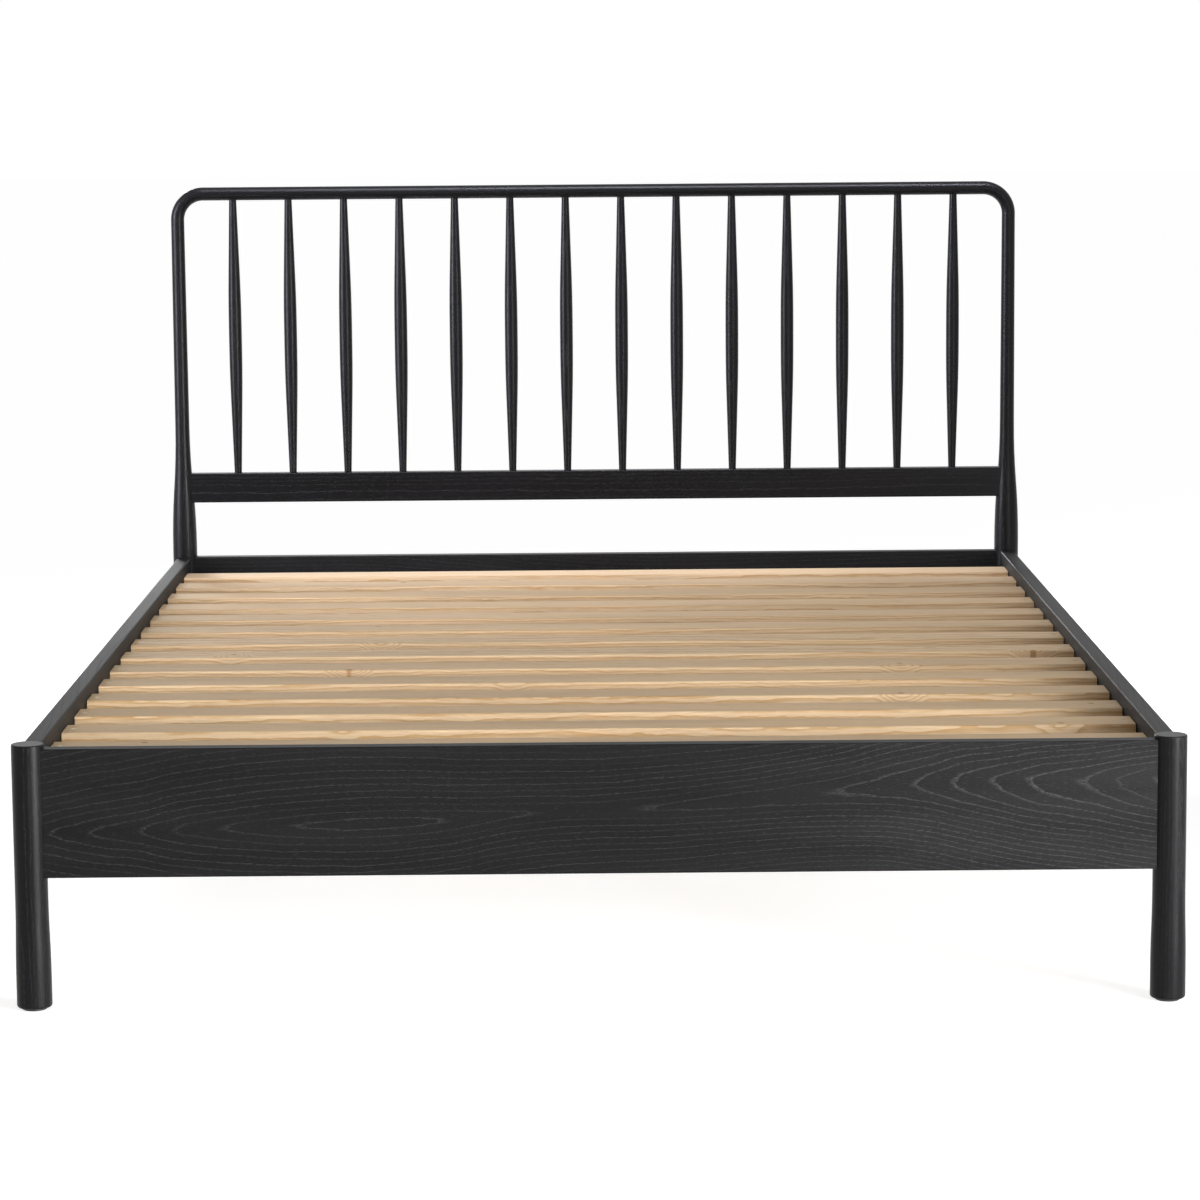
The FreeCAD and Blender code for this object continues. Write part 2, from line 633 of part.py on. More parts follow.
# Centre leg, its bolt into the beam and its threaded insert
leg = turned(
    "centre_leg",
    (
        ("0", "leg_ground"),
        ("leg_diameter / 2 - leg_round", "leg_ground", "leg_round", "left"),
        ("leg_diameter / 2", "leg_ground + leg_round"),
        ("leg_diameter / 2", BEAM_BASE),
        ("0", BEAM_BASE),
    ),
)
drill(leg, ("0", "0", BEAM_BASE), "-z", BOLT_HOLE, BOLT_DEPTH)
drill(leg, ("0", "0", "leg_ground"), "+z", "leg_insert_diameter + 2 * glue_gap", "leg_insert_length")
drill(leg, ("0", "0", "leg_ground"), "+z", "leg_bore_diameter", "leg_bore_length")


def rod(label, diameter, length, chamfer, is_node=True):
    # a plain round rod from the origin up its own Z axis, chamfered at both ends
    corners = (
        ("0", "0"),
        (f"{diameter} / 2 - {chamfer}", "0"),
        (f"{diameter} / 2", chamfer),
        (f"{diameter} / 2", f"{length} - {chamfer}"),
        (f"{diameter} / 2 - {chamfer}", length),
        ("0", length),
    )
    return turned(label, corners, is_node)


def tube(label, outer, inner, length, is_node=True):
    bore, wall = f"({inner}) / 2", f"{outer} / 2"
    return turned(label, ((bore, "0"), (wall, "0"), (wall, length), (bore, length)), is_node)


leg_bolt = rod("leg_bolt", "leg_bolt_diameter", "leg_bolt_length", "stud_chamfer")
place(leg_bolt, "0", "0", f"{BEAM_BASE} - leg_bolt_length / 2")
LEVELLER_THREAD = "leveller_diameter + 2 * thread_gap"
leg_insert = tube("leg_insert", "leg_insert_diameter", LEVELLER_THREAD, "leg_insert_length")
place(leg_insert, "0", "0", "leg_ground")

# Levelling foot: a pad on the floor and a threaded stud with a hexagon collar that swivels in it
SOCKET_RADIUS = "(leveller_diameter / 2 + swivel_gap)"
turned(
    "levelling_pad",
    (
        ("0", "0"),
        ("pad_diameter / 2", "0"),
        ("pad_diameter / 2", "pad_edge"),
        ("pad_neck_diameter / 2", "pad_height"),
        (SOCKET_RADIUS, "pad_height"),
        (SOCKET_RADIUS, "pad_floor"),
        ("0", "pad_floor"),
    ),
)
leveller = rod("levelling_stud", "leveller_diameter", "leveller_length", "stud_chamfer")
place(leveller, "0", "0", "pad_floor + swivel_gap")
collar = leveller.newObject("PartDesign::AdditivePrism", "collar")
collar.Polygon = 6
place(collar, "0", "0", "collar_rise - pad_floor - swivel_gap")
bind(collar, Circumradius="collar_flats / sqrt(3)", Height="collar_height")

# Fittings of the side rails: stud, insert, half-moon washer and nut at each end and level
rail_stud = rod("rail_stud_pattern", "stud_diameter", STUD_LENGTH, "stud_chamfer", is_node=False)
STUD_THREAD = "stud_diameter + 2 * thread_gap"
post_insert = tube("post_insert_pattern", "insert_diameter", STUD_THREAD, "insert_length", is_node=False)
HALF_CHORD = f"sqrt({WASHER_RADIUS} ^ 2 - {WASHER_FRONT} ^ 2)"
washer = padded(
    "washer_pattern",
    "YZ_Plane",
    ((HALF_CHORD, WASHER_FRONT, WASHER_RADIUS, "left"), (f"-{HALF_CHORD}", WASHER_FRONT)),
    "washer_width",
    is_node=False,
)
bolt_mouth = ("washer_width / 2", "0", WASHER_FRONT)
drill(washer, bolt_mouth, "+z", "stud_diameter + 2 * bolt_gap", "washer_thick")
nut = new_body("nut_pattern", is_node=False)
nut_block = nut.newObject("PartDesign::AdditivePrism", "nut")
nut_block.Polygon = 6
bind(nut_block, Circumradius="nut_flats / sqrt(3)", Height="nut_height")
drill(nut, ("0", "0", "0"), "+z", STUD_THREAD, "(nut_height + cut_overrun)")


def stud_places(distance, shift="0"):
    # distance is measured from the middle of the pocket towards the post
    spots = []
    for side in SIDES.values():
        for end in ENDS.values():
            y = f"{end} * ({POST_Y} - {SEAT} - pocket_inset + {distance})"
            spots += [(f"{side} * {POST_X} - {shift}", y, level, (0, end, 0)) for level in STUD_LEVELS]
    return spots


group("rail_studs", rail_stud, stud_places(STUD_BACK))
group("post_inserts", post_insert, stud_places("pocket_inset"))
group("half_moon_washers", washer, stud_places("0", "washer_width / 2"))
group("stud_nuts", nut, stud_places(f"{WASHER_FRONT} - nut_height"))

# Dowels of the end rails, the spindle rail and the hoop
dowel = rod("dowel_pattern", "dowel_diameter", "dowel_length", "dowel_chamfer", is_node=False)
dowel_places = []
for side in SIDES.values():
    for end in ENDS.values():
        x = f"{side} * ({POST_X} - {SEAT} - dowel_length / 2)"
        for offset in DOWEL_OFFSETS:
            dowel_places.append((x, f"{end} * {POST_Y}", f"{RAIL_MIDDLE} + {offset}", (side, 0, 0)))
    x = f"{side} * ({POST_X} - {NECK_SEAT} - dowel_length / 2)"
    dowel_places.append((x, POST_Y, SPINDLE_RAIL_MIDDLE, (side, 0, 0)))
    x = f"{side} * ({CREST_LENGTH} / 2 - dowel_length / 2)"
    dowel_places.append((x, POST_Y, HOOP_LEVEL, (side, 0, 0)))
    dowel_places.append((f"{side} * {POST_X}", POST_Y, f"{HOOP_SPRING} - dowel_length / 2", (0, 0, 1)))
group("joint_dowels", dowel, dowel_places)


# Wood screws, driven along their own Z axis from the top of the head
def countersunk_screw(label, length):
    corners = (
        ("0", "0"),
        ("screw_head_diameter / 2", "0"),
        ("screw_diameter / 2", "screw_head_height"),
        ("screw_diameter / 2", f"{length} - screw_tip"),
        ("0", length),
    )
    return turned(label, corners, is_node=False)


slat_screw = countersunk_screw("slat_screw_pattern", "slat_screw_length")
SCREW_TOP = f"({SLAT_BASE} + slat_thick - screw_sink)"
slat_screw_places = []
for index in range(SLATS):
    along = f"{slat_run(index)} - {LEDGE_LENGTH} / 2"
    for side in SIDES.values():
        slat_screw_places.append((f"{side} * {LEDGE_X}", along, SCREW_TOP, (0, 0, -1)))
group("slat_screws", slat_screw, slat_screw_places)

ledge_screw = countersunk_screw("ledge_screw_pattern", "ledge_screw_length")
ledge_screw_places = []
for side in SIDES.values():
    x = f"{side} * ({LEDGE_X} - ledge_thick / 2 + screw_sink)"
    for index in LEDGE_SCREWS:
        along = f"{ledge_screw_run(index)} - {LEDGE_LENGTH} / 2"
        ledge_screw_places.append((x, along, LEDGE_LEVEL, (side, 0, 0)))
group("ledge_screws", ledge_screw, ledge_screw_places)

hanger_screw = turned(
    "hanger_screw_pattern",
    (
        ("0", "-screw_head_height"),
        ("screw_head_diameter / 2", "-screw_head_height"),
        ("screw_head_diameter / 2", "0"),
        ("screw_diameter / 2", "0"),
        ("screw_diameter / 2", "hanger_screw_length - screw_tip"),
        ("0", "hanger_screw_length"),
    ),
    is_node=False,
)
hanger_screw_places = []
for end in ENDS.values():
    for side in SIDES.values():
        for hole_level in HANGER_HOLE_LEVELS:
            level = f"{BEAM_BASE} - hanger_thick + {hole_level}"
            y = f"{end} * ({INNER_Y} - hanger_thick)"
            hanger_screw_places.append((f"{side} * {HANGER_HOLE_X}", y, level, (0, end, 0)))
group("hanger_screws", hanger_screw, hanger_screw_places)

# Glides nailed under the posts
glide = turned(
    "glide_pattern",
    (
        ("0", "0"),
        ("glide_diameter / 2 - glide_round", "0", "glide_round", "left"),
        ("glide_diameter / 2", "glide_round"),
        ("glide_diameter / 2", "glide_thick"),
        ("glide_pin_diameter / 2", "glide_thick"),
        ("glide_pin_diameter / 2", "glide_thick + glide_pin_length"),
        ("0", "glide_thick + glide_pin_length"),
    ),
    is_node=False,
)
glide_places = []
for side in SIDES.values():
    for end in ENDS.values():
        glide_places.append((f"{side} * {POST_X}", f"{end} * {POST_Y}", "0", (0, 0, 1)))
group("post_glides", glide, glide_places)

doc.recompute()
for thing in doc.Objects:
    if "Invalid" in thing.State or "Error" in thing.State:
        raise RuntimeError(f"{thing.Label} failed: {thing.State}")
for node in nodes:
    if node.Shape.isNull() or not node.Shape.isValid() or not node.Shape.Solids:
        raise RuntimeError(f"{node.Label} has no valid solid")

os.makedirs("parts", exist_ok=True)
for node in nodes:
    node.Shape.exportStep(f"parts/{node.Label}.step")
    print(f"{node.Label}: {len(node.Shape.Solids)} solid(s), {node.Shape.Volume / 1000:.1f} cm3")
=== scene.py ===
import math

import bpy
from mathutils import Euler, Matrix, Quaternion, Vector


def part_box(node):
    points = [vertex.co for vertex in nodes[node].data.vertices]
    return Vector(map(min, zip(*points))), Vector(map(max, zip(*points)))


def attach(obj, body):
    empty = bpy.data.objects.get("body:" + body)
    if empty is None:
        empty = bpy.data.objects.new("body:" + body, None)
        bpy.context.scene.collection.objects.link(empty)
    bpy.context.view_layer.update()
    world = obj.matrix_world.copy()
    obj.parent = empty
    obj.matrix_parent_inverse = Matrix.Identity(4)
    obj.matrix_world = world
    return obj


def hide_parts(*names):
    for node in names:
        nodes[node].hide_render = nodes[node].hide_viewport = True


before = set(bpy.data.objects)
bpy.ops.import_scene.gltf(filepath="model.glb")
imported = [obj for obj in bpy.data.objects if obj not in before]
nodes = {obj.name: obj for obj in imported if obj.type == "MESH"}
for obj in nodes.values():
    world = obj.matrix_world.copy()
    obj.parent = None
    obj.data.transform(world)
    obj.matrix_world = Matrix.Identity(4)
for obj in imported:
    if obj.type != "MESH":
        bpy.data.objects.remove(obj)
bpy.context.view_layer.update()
bpy.ops.object.select_all(action="DESELECT")
print("frame loaded:", len(nodes), "nodes")


def named(*starts):
    return sorted(name for name in nodes if name.startswith(starts))


# where the pieces are, read from the frame
railLow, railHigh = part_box("foot_rail")
cornerLow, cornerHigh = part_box("hoop_corner_right")
sideRailX = sum(end.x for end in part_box("side_rail_right")) / 2
headRailY = sum(end.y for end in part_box("head_rail")) / 2
slatNames = named("slat_0", "slat_1")
slatRow = [sum(end.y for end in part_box(name)) / 2 for name in slatNames]


# node helpers
def feed(tree, socket, value):
    if isinstance(value, bpy.types.NodeSocket):
        tree.links.new(value, socket)
    else:
        socket.default_value = value


def addNode(tree, kind, sockets=None, **settings):
    made = tree.nodes.new("ShaderNode" + kind)
    for name, value in settings.items():
        setattr(made, name, value)
    for key, value in (sockets or {}).items():
        feed(tree, made.inputs[key], value)
    return made


def calc(tree, operation, *values):
    made = addNode(tree, "Math", operation=operation)
    for socket, value in zip(made.inputs, values):
        feed(tree, socket, value)
    return made.outputs[0]


def remap(tree, value, low, high, toLow=0.0, toHigh=1.0):
    sockets = {"Value": value, "From Min": low, "From Max": high, "To Min": toLow, "To Max": toHigh}
    return addNode(tree, "MapRange", sockets, interpolation_type="SMOOTHSTEP").outputs[0]


def calcVector(tree, operation, first, second):
    slot = "Scale" if operation == "SCALE" else 1
    return addNode(tree, "VectorMath", {0: first, slot: second}, operation=operation).outputs[0]


def stretch(tree, vector, factors):
    return calcVector(tree, "MULTIPLY", vector, factors)


def distance(tree, across, up):
    flat = addNode(tree, "CombineXYZ", {"X": across, "Y": up}).outputs[0]
    return addNode(tree, "VectorMath", {0: flat}, operation="LENGTH").outputs["Value"]


def greyTone(tree, level):
    return addNode(tree, "CombineColor", {0: level, 1: level, 2: level}).outputs[0]


def noise(tree, vector, detail=2.0, roughness=0.5):
    sockets = {"Vector": vector, "Scale": 1.0, "Detail": detail, "Roughness": roughness}
    return addNode(tree, "TexNoise", sockets).outputs


def mixColour(tree, factor, first, second, blend="MIX"):
    made = addNode(tree, "Mix", {0: factor, 6: first, 7: second}, data_type="RGBA", blend_type=blend)
    return made.outputs[2]


def newGroup(name, inputs, outputs):
    group = bpy.data.node_groups.new(name, "ShaderNodeTree")
    for label, kind, start in inputs:
        socket = group.interface.new_socket(label, in_out="INPUT", socket_type="NodeSocket" + kind)
        if start is not None:
            socket.default_value = start
    for label, kind in outputs:
        group.interface.new_socket(label, in_out="OUTPUT", socket_type="NodeSocket" + kind)
    ends = group.nodes.new("NodeGroupInput").outputs, group.nodes.new("NodeGroupOutput").inputs
    return group, *ends


def placeGroup(tree, group, sockets):
    made = tree.nodes.new("ShaderNodeGroup")
    made.node_tree = group
    for key, value in sockets.items():
        feed(tree, made.inputs[key], value)
    return made.outputs


def newMaterial(name):
    material = bpy.data.materials.new(name)
    material.use_nodes = True
    shader = material.node_tree.nodes["Principled BSDF"]
    return material, material.node_tree, shader


def grainVector(tree, order, origin=(0, 0, 0)):
    # object coordinates turned so that X runs along the grain, Y across the face and Z into the board
    spot = addNode(tree, "TexCoord").outputs["Object"]
    moved = addNode(tree, "Mapping", {"Vector": spot, "Location": [-value for value in origin]}).outputs[0]
    if order == "xyz":
        return moved
    parts = addNode(tree, "SeparateXYZ", {0: moved}).outputs
    turned = addNode(tree, "CombineXYZ", {index: parts[axis.upper()] for index, axis in enumerate(order)})
    return turned.outputs[0]


# growth rings about the heart of the tree, with a slow wander and a quick ripple
ringWaves = {
    "slow": (2.0, 11.0, 11.0),
    "quick": (21.0, 90.0, 90.0),
    "middle": (0.5, 0.5, 0.5),
    "growth": 0.37,
}


def makeGrowthRings():
    group, start, end = newGroup(
        "growthRings",
        [
            ("Grain", "Vector", None),
            ("Depth", "Float", 0.05),
            ("Spacing", "Float", 0.005),
            ("Wander", "Float", 0.004),
            ("Ripple", "Float", 0.32),
            ("Vary", "Float", 1.1),
        ],
        [("Phase", "Float"), ("Ring", "Float")],
    )
    slow = noise(group, stretch(group, start["Grain"], ringWaves["slow"]), 1.0)["Color"]
    quick = noise(group, stretch(group, start["Grain"], ringWaves["quick"]), 2.0)["Color"]
    wander = calcVector(group, "SUBTRACT", slow, ringWaves["middle"])
    ripple = calcVector(group, "SUBTRACT", quick, ringWaves["middle"])
    ripple = calcVector(group, "SCALE", ripple, start["Ripple"])
    wander = calcVector(group, "SCALE", calcVector(group, "ADD", wander, ripple), start["Wander"])
    moved = calcVector(group, "ADD", start["Grain"], wander)
    parts = addNode(group, "SeparateXYZ", {0: moved}).outputs
    radius = distance(group, parts["Y"], calc(group, "ADD", parts["Z"], start["Depth"]))
    count = calc(group, "DIVIDE", radius, start["Spacing"])
    sockets = {"W": count, "Scale": ringWaves["growth"], "Detail": 0.0}
    growth = addNode(group, "TexNoise", sockets, noise_dimensions="1D").outputs[0]
    count = calc(group, "MULTIPLY_ADD", growth, start["Vary"], count)
    feed(group, end["Phase"], calc(group, "FRACT", count))
    sockets = {"W": calc(group, "FLOOR", count)}
    feed(group, end["Ring"], addNode(group, "TexWhiteNoise", sockets, noise_dimensions="1D").outputs[0])
    return group


# open pores: rows of dashes at the start of each ring, and stray ones between
poreMarks = {
    "rise": (0.0, 0.04),
    "fallFrom": 0.05,
    "dash": (150, 800, 800),
    "dashShow": (0.34, 0.6),
    "fine": (380, 4600, 4600),
    "fineShow": (0.42, 0.6),
    "weakest": 0.4,
    "stray": (110, 1300, 1300),
    "strayShow": (0.58, 0.72),
    "strayShare": 0.34,
    "pitDepth": 0.3,
    "finePitDepth": 0.7,
}


def makeOpenPores():
    group, start, end = newGroup(
        "openPores",
        [("Grain", "Vector", None), ("Phase", "Float", 0.0), ("Ring", "Float", 0.5), ("Band", "Float", 0.24)],
        [("Pores", "Float"), ("Pits", "Float")],
    )
    rise = remap(group, start["Phase"], *poreMarks["rise"])
    fall = remap(group, start["Phase"], poreMarks["fallFrom"], start["Band"], 1.0, 0.0)
    early = calc(group, "MULTIPLY", rise, fall)
    marks = []
    for key, detail in (("dash", 2.0), ("fine", 1.0), ("stray", 2.0)):
        spread = noise(group, stretch(group, start["Grain"], poreMarks[key]), detail)[0]
        marks.append(remap(group, spread, *poreMarks[key + "Show"]))
    dash, fine, stray = marks
    weakest = poreMarks["weakest"]
    broken = calc(group, "MULTIPLY", dash, calc(group, "MULTIPLY_ADD", fine, 1 - weakest, weakest))
    strength = calc(group, "MULTIPLY_ADD", start["Ring"], 1 - weakest, weakest)
    lines = calc(group, "MULTIPLY", calc(group, "MULTIPLY", early, broken), strength)
    pores = calc(group, "MAXIMUM", lines, calc(group, "MULTIPLY", stray, poreMarks["strayShare"]))
    feed(group, end["Pores"], pores)
    pit = calc(group, "MULTIPLY_ADD", fine, -poreMarks["finePitDepth"], -poreMarks["pitDepth"])
    feed(group, end["Pits"], calc(group, "MULTIPLY", pores, pit))
    return group


growthRings = makeGrowthRings()
openPores = makeOpenPores()

# black stained ash
blackAsh = {
    "boardGround": (0.0082, 0.0081, 0.0084, 1),
    "turnedGround": (0.0046, 0.0046, 0.0054, 1),
    "boardPore": (0.046, 0.045, 0.046, 1),
    "turnedPore": (0.026, 0.025, 0.026, 1),
    "boardRoughness": 0.46,
    "turnedRoughness": 0.31,
    "poreRoughness": 0.3,
    "boardSpecular": 0.12,
    "turnedSpecular": 0.15,
    "poreDepth": 0.00025,
    "poreBump": 0.6,
    "cloud": (3.0, 26.0, 26.0),
    "cloudShow": (0.3, 0.7),
    "cloudShade": 0.4,
    "cloudRoughness": 0.08,
    "spacing": 0.0042,
    "turnedWander": 0.01,
    "bentWander": 0.008,
    "bentDepth": 0.4,
}
deepBlack = (0, 0, 0, 1)


def finishAsh(tree, shader, grain, rings, cut="board", fade=None):
    rings = placeGroup(tree, growthRings, rings)
    pores = placeGroup(tree, openPores, {"Grain": grain, "Phase": rings["Phase"], "Ring": rings["Ring"]})
    tone = noise(tree, stretch(tree, grain, blackAsh["cloud"]), 3.0)[0]
    shade = remap(tree, tone, *blackAsh["cloudShow"], 0.0, blackAsh["cloudShade"])
    ground = mixColour(tree, shade, blackAsh[cut + "Ground"], deepBlack)
    colour = mixColour(tree, pores["Pores"], ground, blackAsh[cut + "Pore"])
    # when given, fade is painted light and shade: a factor that multiplies the colour
    if fade is not None:
        colour = mixColour(tree, 1.0, colour, greyTone(tree, fade), "MULTIPLY")
    rough = calc(tree, "MULTIPLY_ADD", pores["Pores"], blackAsh["poreRoughness"], blackAsh[cut + "Roughness"])
    rough = calc(tree, "MULTIPLY_ADD", tone, blackAsh["cloudRoughness"], rough)
    sockets = {"Height": pores["Pits"], "Distance": blackAsh["poreDepth"], "Strength": blackAsh["poreBump"]}
    bump = addNode(tree, "Bump", sockets)
    feed(tree, shader.inputs["Base Color"], colour)
    feed(tree, shader.inputs["Roughness"], rough)
    feed(tree, shader.inputs["Normal"], bump.outputs[0])
    shader.inputs["Specular IOR Level"].default_value = blackAsh[cut + "Specular"]


def makeTurnedAsh(name, order):
    material, tree, shader = newMaterial(name)
    grain = grainVector(tree, order)
    rings = {"Grain": grain, "Depth": 0.0, "Spacing": blackAsh["spacing"], "Wander": blackAsh["turnedWander"]}
    finishAsh(tree, shader, grain, rings, "turned")
    return material


def pointedFigure(tree, along, above, deep, depth, spacing, lines, tip):
    # the lines leave the heart of the figure at an even slope and meet in rounded tips
    slant = calc(tree, "SQRT", calc(tree, "MULTIPLY_ADD", above, above, calc(tree, "MULTIPLY", tip, tip)))
    slope = calc(tree, "MULTIPLY", calc(tree, "SUBTRACT", slant, tip), spacing)
    reach = calc(tree, "DIVIDE", slope, lines)
    wide = calc(tree, "MULTIPLY", reach, calc(tree, "MULTIPLY_ADD", depth, 2.0, reach))
    spread = calc(tree, "MULTIPLY", calc(tree, "SQRT", wide), calc(tree, "SIGN", above))
    return addNode(tree, "CombineXYZ", {"X": along, "Y": spread, "Z": deep}).outputs[0]


# the plain-sawn boards: the depth of the cut and the heart of the figure drift along the length
boardFigure = {
    "spacing": 0.0055,
    "lines": 0.0078,
    "tip": 0.013,
    "shallowest": 0.02,
    "swing": 0.078,
    "drift": 0.95,
    "heartSwing": 0.11,
    "heartDrift": 0.6,
    "heartSeed": 40,
    "driftDetail": 0.6,
    "wander": 0.004,
    "ripple": 0.8,
    "vary": 0.5,
}
# grain is the order of the axes along the grain, across the face and into the board
boardCuts = {
    "headRailAsh": {
        "grain": "xzy", "origin": (0, headRailY, 0.27), "seed": 4.0, "out": 0.0,
        "boards": ("head_rail",),
    },
    "sideRailAsh": {
        "grain": "yzx", "origin": (0, 0, 0.28), "seed": 9.0, "out": sideRailX,
        "boards": ("side_rail_left", "side_rail_right"),
    },
}


def makeBoardAsh(name):
    setup = boardCuts[name]
    material, tree, shader = newMaterial(name)
    grain = grainVector(tree, setup["grain"], setup["origin"])
    parts = addNode(tree, "SeparateXYZ", {0: grain}).outputs
    drifts = []
    for shift, key in ((0, "drift"), (boardFigure["heartSeed"], "heartDrift")):
        place = calc(tree, "ADD", parts["X"], setup["seed"] + shift)
        sockets = {"W": place, "Scale": boardFigure[key], "Detail": boardFigure["driftDetail"]}
        drifts.append(addNode(tree, "TexNoise", sockets, noise_dimensions="1D").outputs[0])
    depth = calc(tree, "MULTIPLY_ADD", drifts[0], boardFigure["swing"], boardFigure["shallowest"])
    heart = calc(tree, "MULTIPLY", calc(tree, "SUBTRACT", drifts[1], 0.5), boardFigure["heartSwing"])
    above = calc(tree, "SUBTRACT", parts["Y"], heart)
    deep = parts["Z"]
    if setup["out"]:  # a pair of boards, one on each side
        deep = calc(tree, "SUBTRACT", calc(tree, "ABSOLUTE", deep), setup["out"])
    spacing, lines, tip = (boardFigure[key] for key in ("spacing", "lines", "tip"))
    figure = pointedFigure(tree, parts["X"], above, deep, depth, spacing, lines, tip)
    rings = {"Grain": figure, "Depth": depth}
    rings.update({key.capitalize(): boardFigure[key] for key in ("spacing", "wander", "ripple", "vary")})
    finishAsh(tree, shader, grain, rings)
    return material


# the foot rail's own figure, from its left end to its right: how many rings deep the cut runs,
# how high up the rail the heart of the figure is, how far apart the lines lie beside the heart,
# how round the tips are above and below it, and the painted light that lightens the rail's right end
footFigure = {
    "spacing": 0.0055,
    "wander": 0.003,
    "ripple": 0.9,
    "vary": 0.0,
    "ringsDeep": 10,
    "rings": (
        (-0.76, 5.4), (-0.690, 4.0), (-0.624, 3.0), (-0.579, 2.0), (-0.507, 1.0), (-0.396, 0.0),
        (-0.315, -0.25), (-0.235, 0.0), (-0.118, 1.0), (-0.012, 1.4), (0.088, 1.0), (0.340, 0.0),
        (0.436, -1.0), (0.485, -2.0), (0.541, -3.0), (0.590, -4.0), (0.664, -5.0), (0.708, -6.0),
        (0.76, -7.0),
    ),
    "heartShares": (
        (-0.76, 0.35), (-0.505, 0.384), (-0.208, 0.431), (-0.101, 0.48), (0.074, 0.515),
        (0.320, 0.62), (0.475, 0.68), (0.575, 0.69), (0.76, 0.69),
    ),
    "lineSpacings": ((-0.76, 0.0105), (-0.3, 0.0092), (0.0, 0.0082), (0.3, 0.0068), (0.76, 0.0064)),
    "widestSpacing": 0.02,
    "upperTips": ((-0.76, 0.009), (0.1, 0.009), (0.32, 0.024), (0.45, 0.042), (0.55, 0.032), (0.76, 0.02)),
    "lowerTips": ((-0.76, 0.011), (0.1, 0.011), (0.32, 0.016), (0.45, 0.032), (0.6, 0.055), (0.76, 0.06)),
    "roundestTip": 0.08,
    # painted light and shade: a factor on the colour, lighter towards the right end and darker in the middle
    "paintedLight": ((-0.76, 1.0), (-0.3, 0.95), (0.0, 0.78), (0.25, 1.02), (0.48, 1.78), (0.76, 1.96)),
    "brightestPaintedLight": 2.0,
}


def footCurve(tree, share, key, most, least=0.0):
    # a value that changes along the rail, as a curve through the figure's points
    length = railHigh.x - railLow.x
    spots = [((x - railLow.x) / length, (value - least) / (most - least)) for x, value in footFigure[key]]
    figure = addNode(tree, "FloatCurve", {"Value": share})
    curve = figure.mapping.curves[0]
    curve.points[0].location, curve.points[1].location = spots[0], spots[-1]
    for spot in spots[1:-1]:
        curve.points.new(*spot)
    figure.mapping.update()
    return calc(tree, "MULTIPLY_ADD", figure.outputs[0], most - least, least)


def makeFootRailAsh():
    material, tree, shader = newMaterial("footRailAsh")
    grain = grainVector(tree, "xzy", (0, railLow.y, railLow.z))
    parts = addNode(tree, "SeparateXYZ", {0: grain}).outputs
    share = calc(tree, "MULTIPLY_ADD", parts["X"], 1 / (railHigh.x - railLow.x), 0.5)
    rings = footCurve(tree, share, "rings", footFigure["ringsDeep"], -footFigure["ringsDeep"])
    depth = calc(tree, "MULTIPLY", calc(tree, "ADD", rings, footFigure["ringsDeep"]), footFigure["spacing"])
    heart = calc(tree, "MULTIPLY", footCurve(tree, share, "heartShares", 1.0), railHigh.z - railLow.z)
    above = calc(tree, "SUBTRACT", parts["Y"], heart)
    lower = calc(tree, "LESS_THAN", above, 0.0)
    upperTip = footCurve(tree, share, "upperTips", footFigure["roundestTip"])
    lowerTip = footCurve(tree, share, "lowerTips", footFigure["roundestTip"])
    tip = addNode(tree, "Mix", {"Factor": lower, "A": upperTip, "B": lowerTip}).outputs[0]
    lines = footCurve(tree, share, "lineSpacings", footFigure["widestSpacing"])
    figure = pointedFigure(tree, parts["X"], above, parts["Z"], depth, footFigure["spacing"], lines, tip)
    # painted light: the rail's colour made lighter towards the right end and a little darker in the middle
    fade = footCurve(tree, share, "paintedLight", footFigure["brightestPaintedLight"])
    rings = {"Grain": figure, "Depth": depth}
    rings.update({key.capitalize(): footFigure[key] for key in ("spacing", "wander", "ripple", "vary")})
    finishAsh(tree, shader, grain, rings, fade=fade)
    return material


def makeBentAsh():
    # the grain follows the bend of the hoop's corners
    material, tree, shader = newMaterial("bentAsh")
    spot = addNode(tree, "TexCoord").outputs["Object"]
    parts = addNode(tree, "SeparateXYZ", {0: spot}).outputs
    across = calc(tree, "SUBTRACT", calc(tree, "ABSOLUTE", parts["X"]), cornerLow.x)
    up = calc(tree, "SUBTRACT", parts["Z"], cornerLow.z)
    bend = (cornerHigh.z - cornerLow.z + cornerHigh.x - cornerLow.x) / 2
    along = calc(tree, "MULTIPLY", calc(tree, "ARCTAN2", up, across), bend)
    radius = distance(tree, across, up)
    grain = addNode(tree, "CombineXYZ", {"X": along, "Y": radius, "Z": parts["Y"]}).outputs[0]
    rings = {
        "Grain": grain, "Depth": blackAsh["bentDepth"],
        "Spacing": blackAsh["spacing"], "Wander": blackAsh["bentWander"],
    }
    finishAsh(tree, shader, grain, rings, "turned")
    return material


def dress(material, *names):
    for name in names:
        mesh = nodes[name].data
        mesh.materials.clear()
        mesh.materials.append(material)


uprights = named("foot_post", "head_post", "spindle_0", "spindle_1", "centre_leg")
dress(makeTurnedAsh("uprightAsh", "zxy"), *uprights)
dress(makeFootRailAsh(), "foot_rail")
for name, setup in boardCuts.items():
    dress(makeBoardAsh(name), *setup["boards"])
dress(makeTurnedAsh("crestAsh", "xyz"), "crest_rail", "spindle_rail")
dress(makeBentAsh(), *named("hoop_corner"))
print("black ash done")

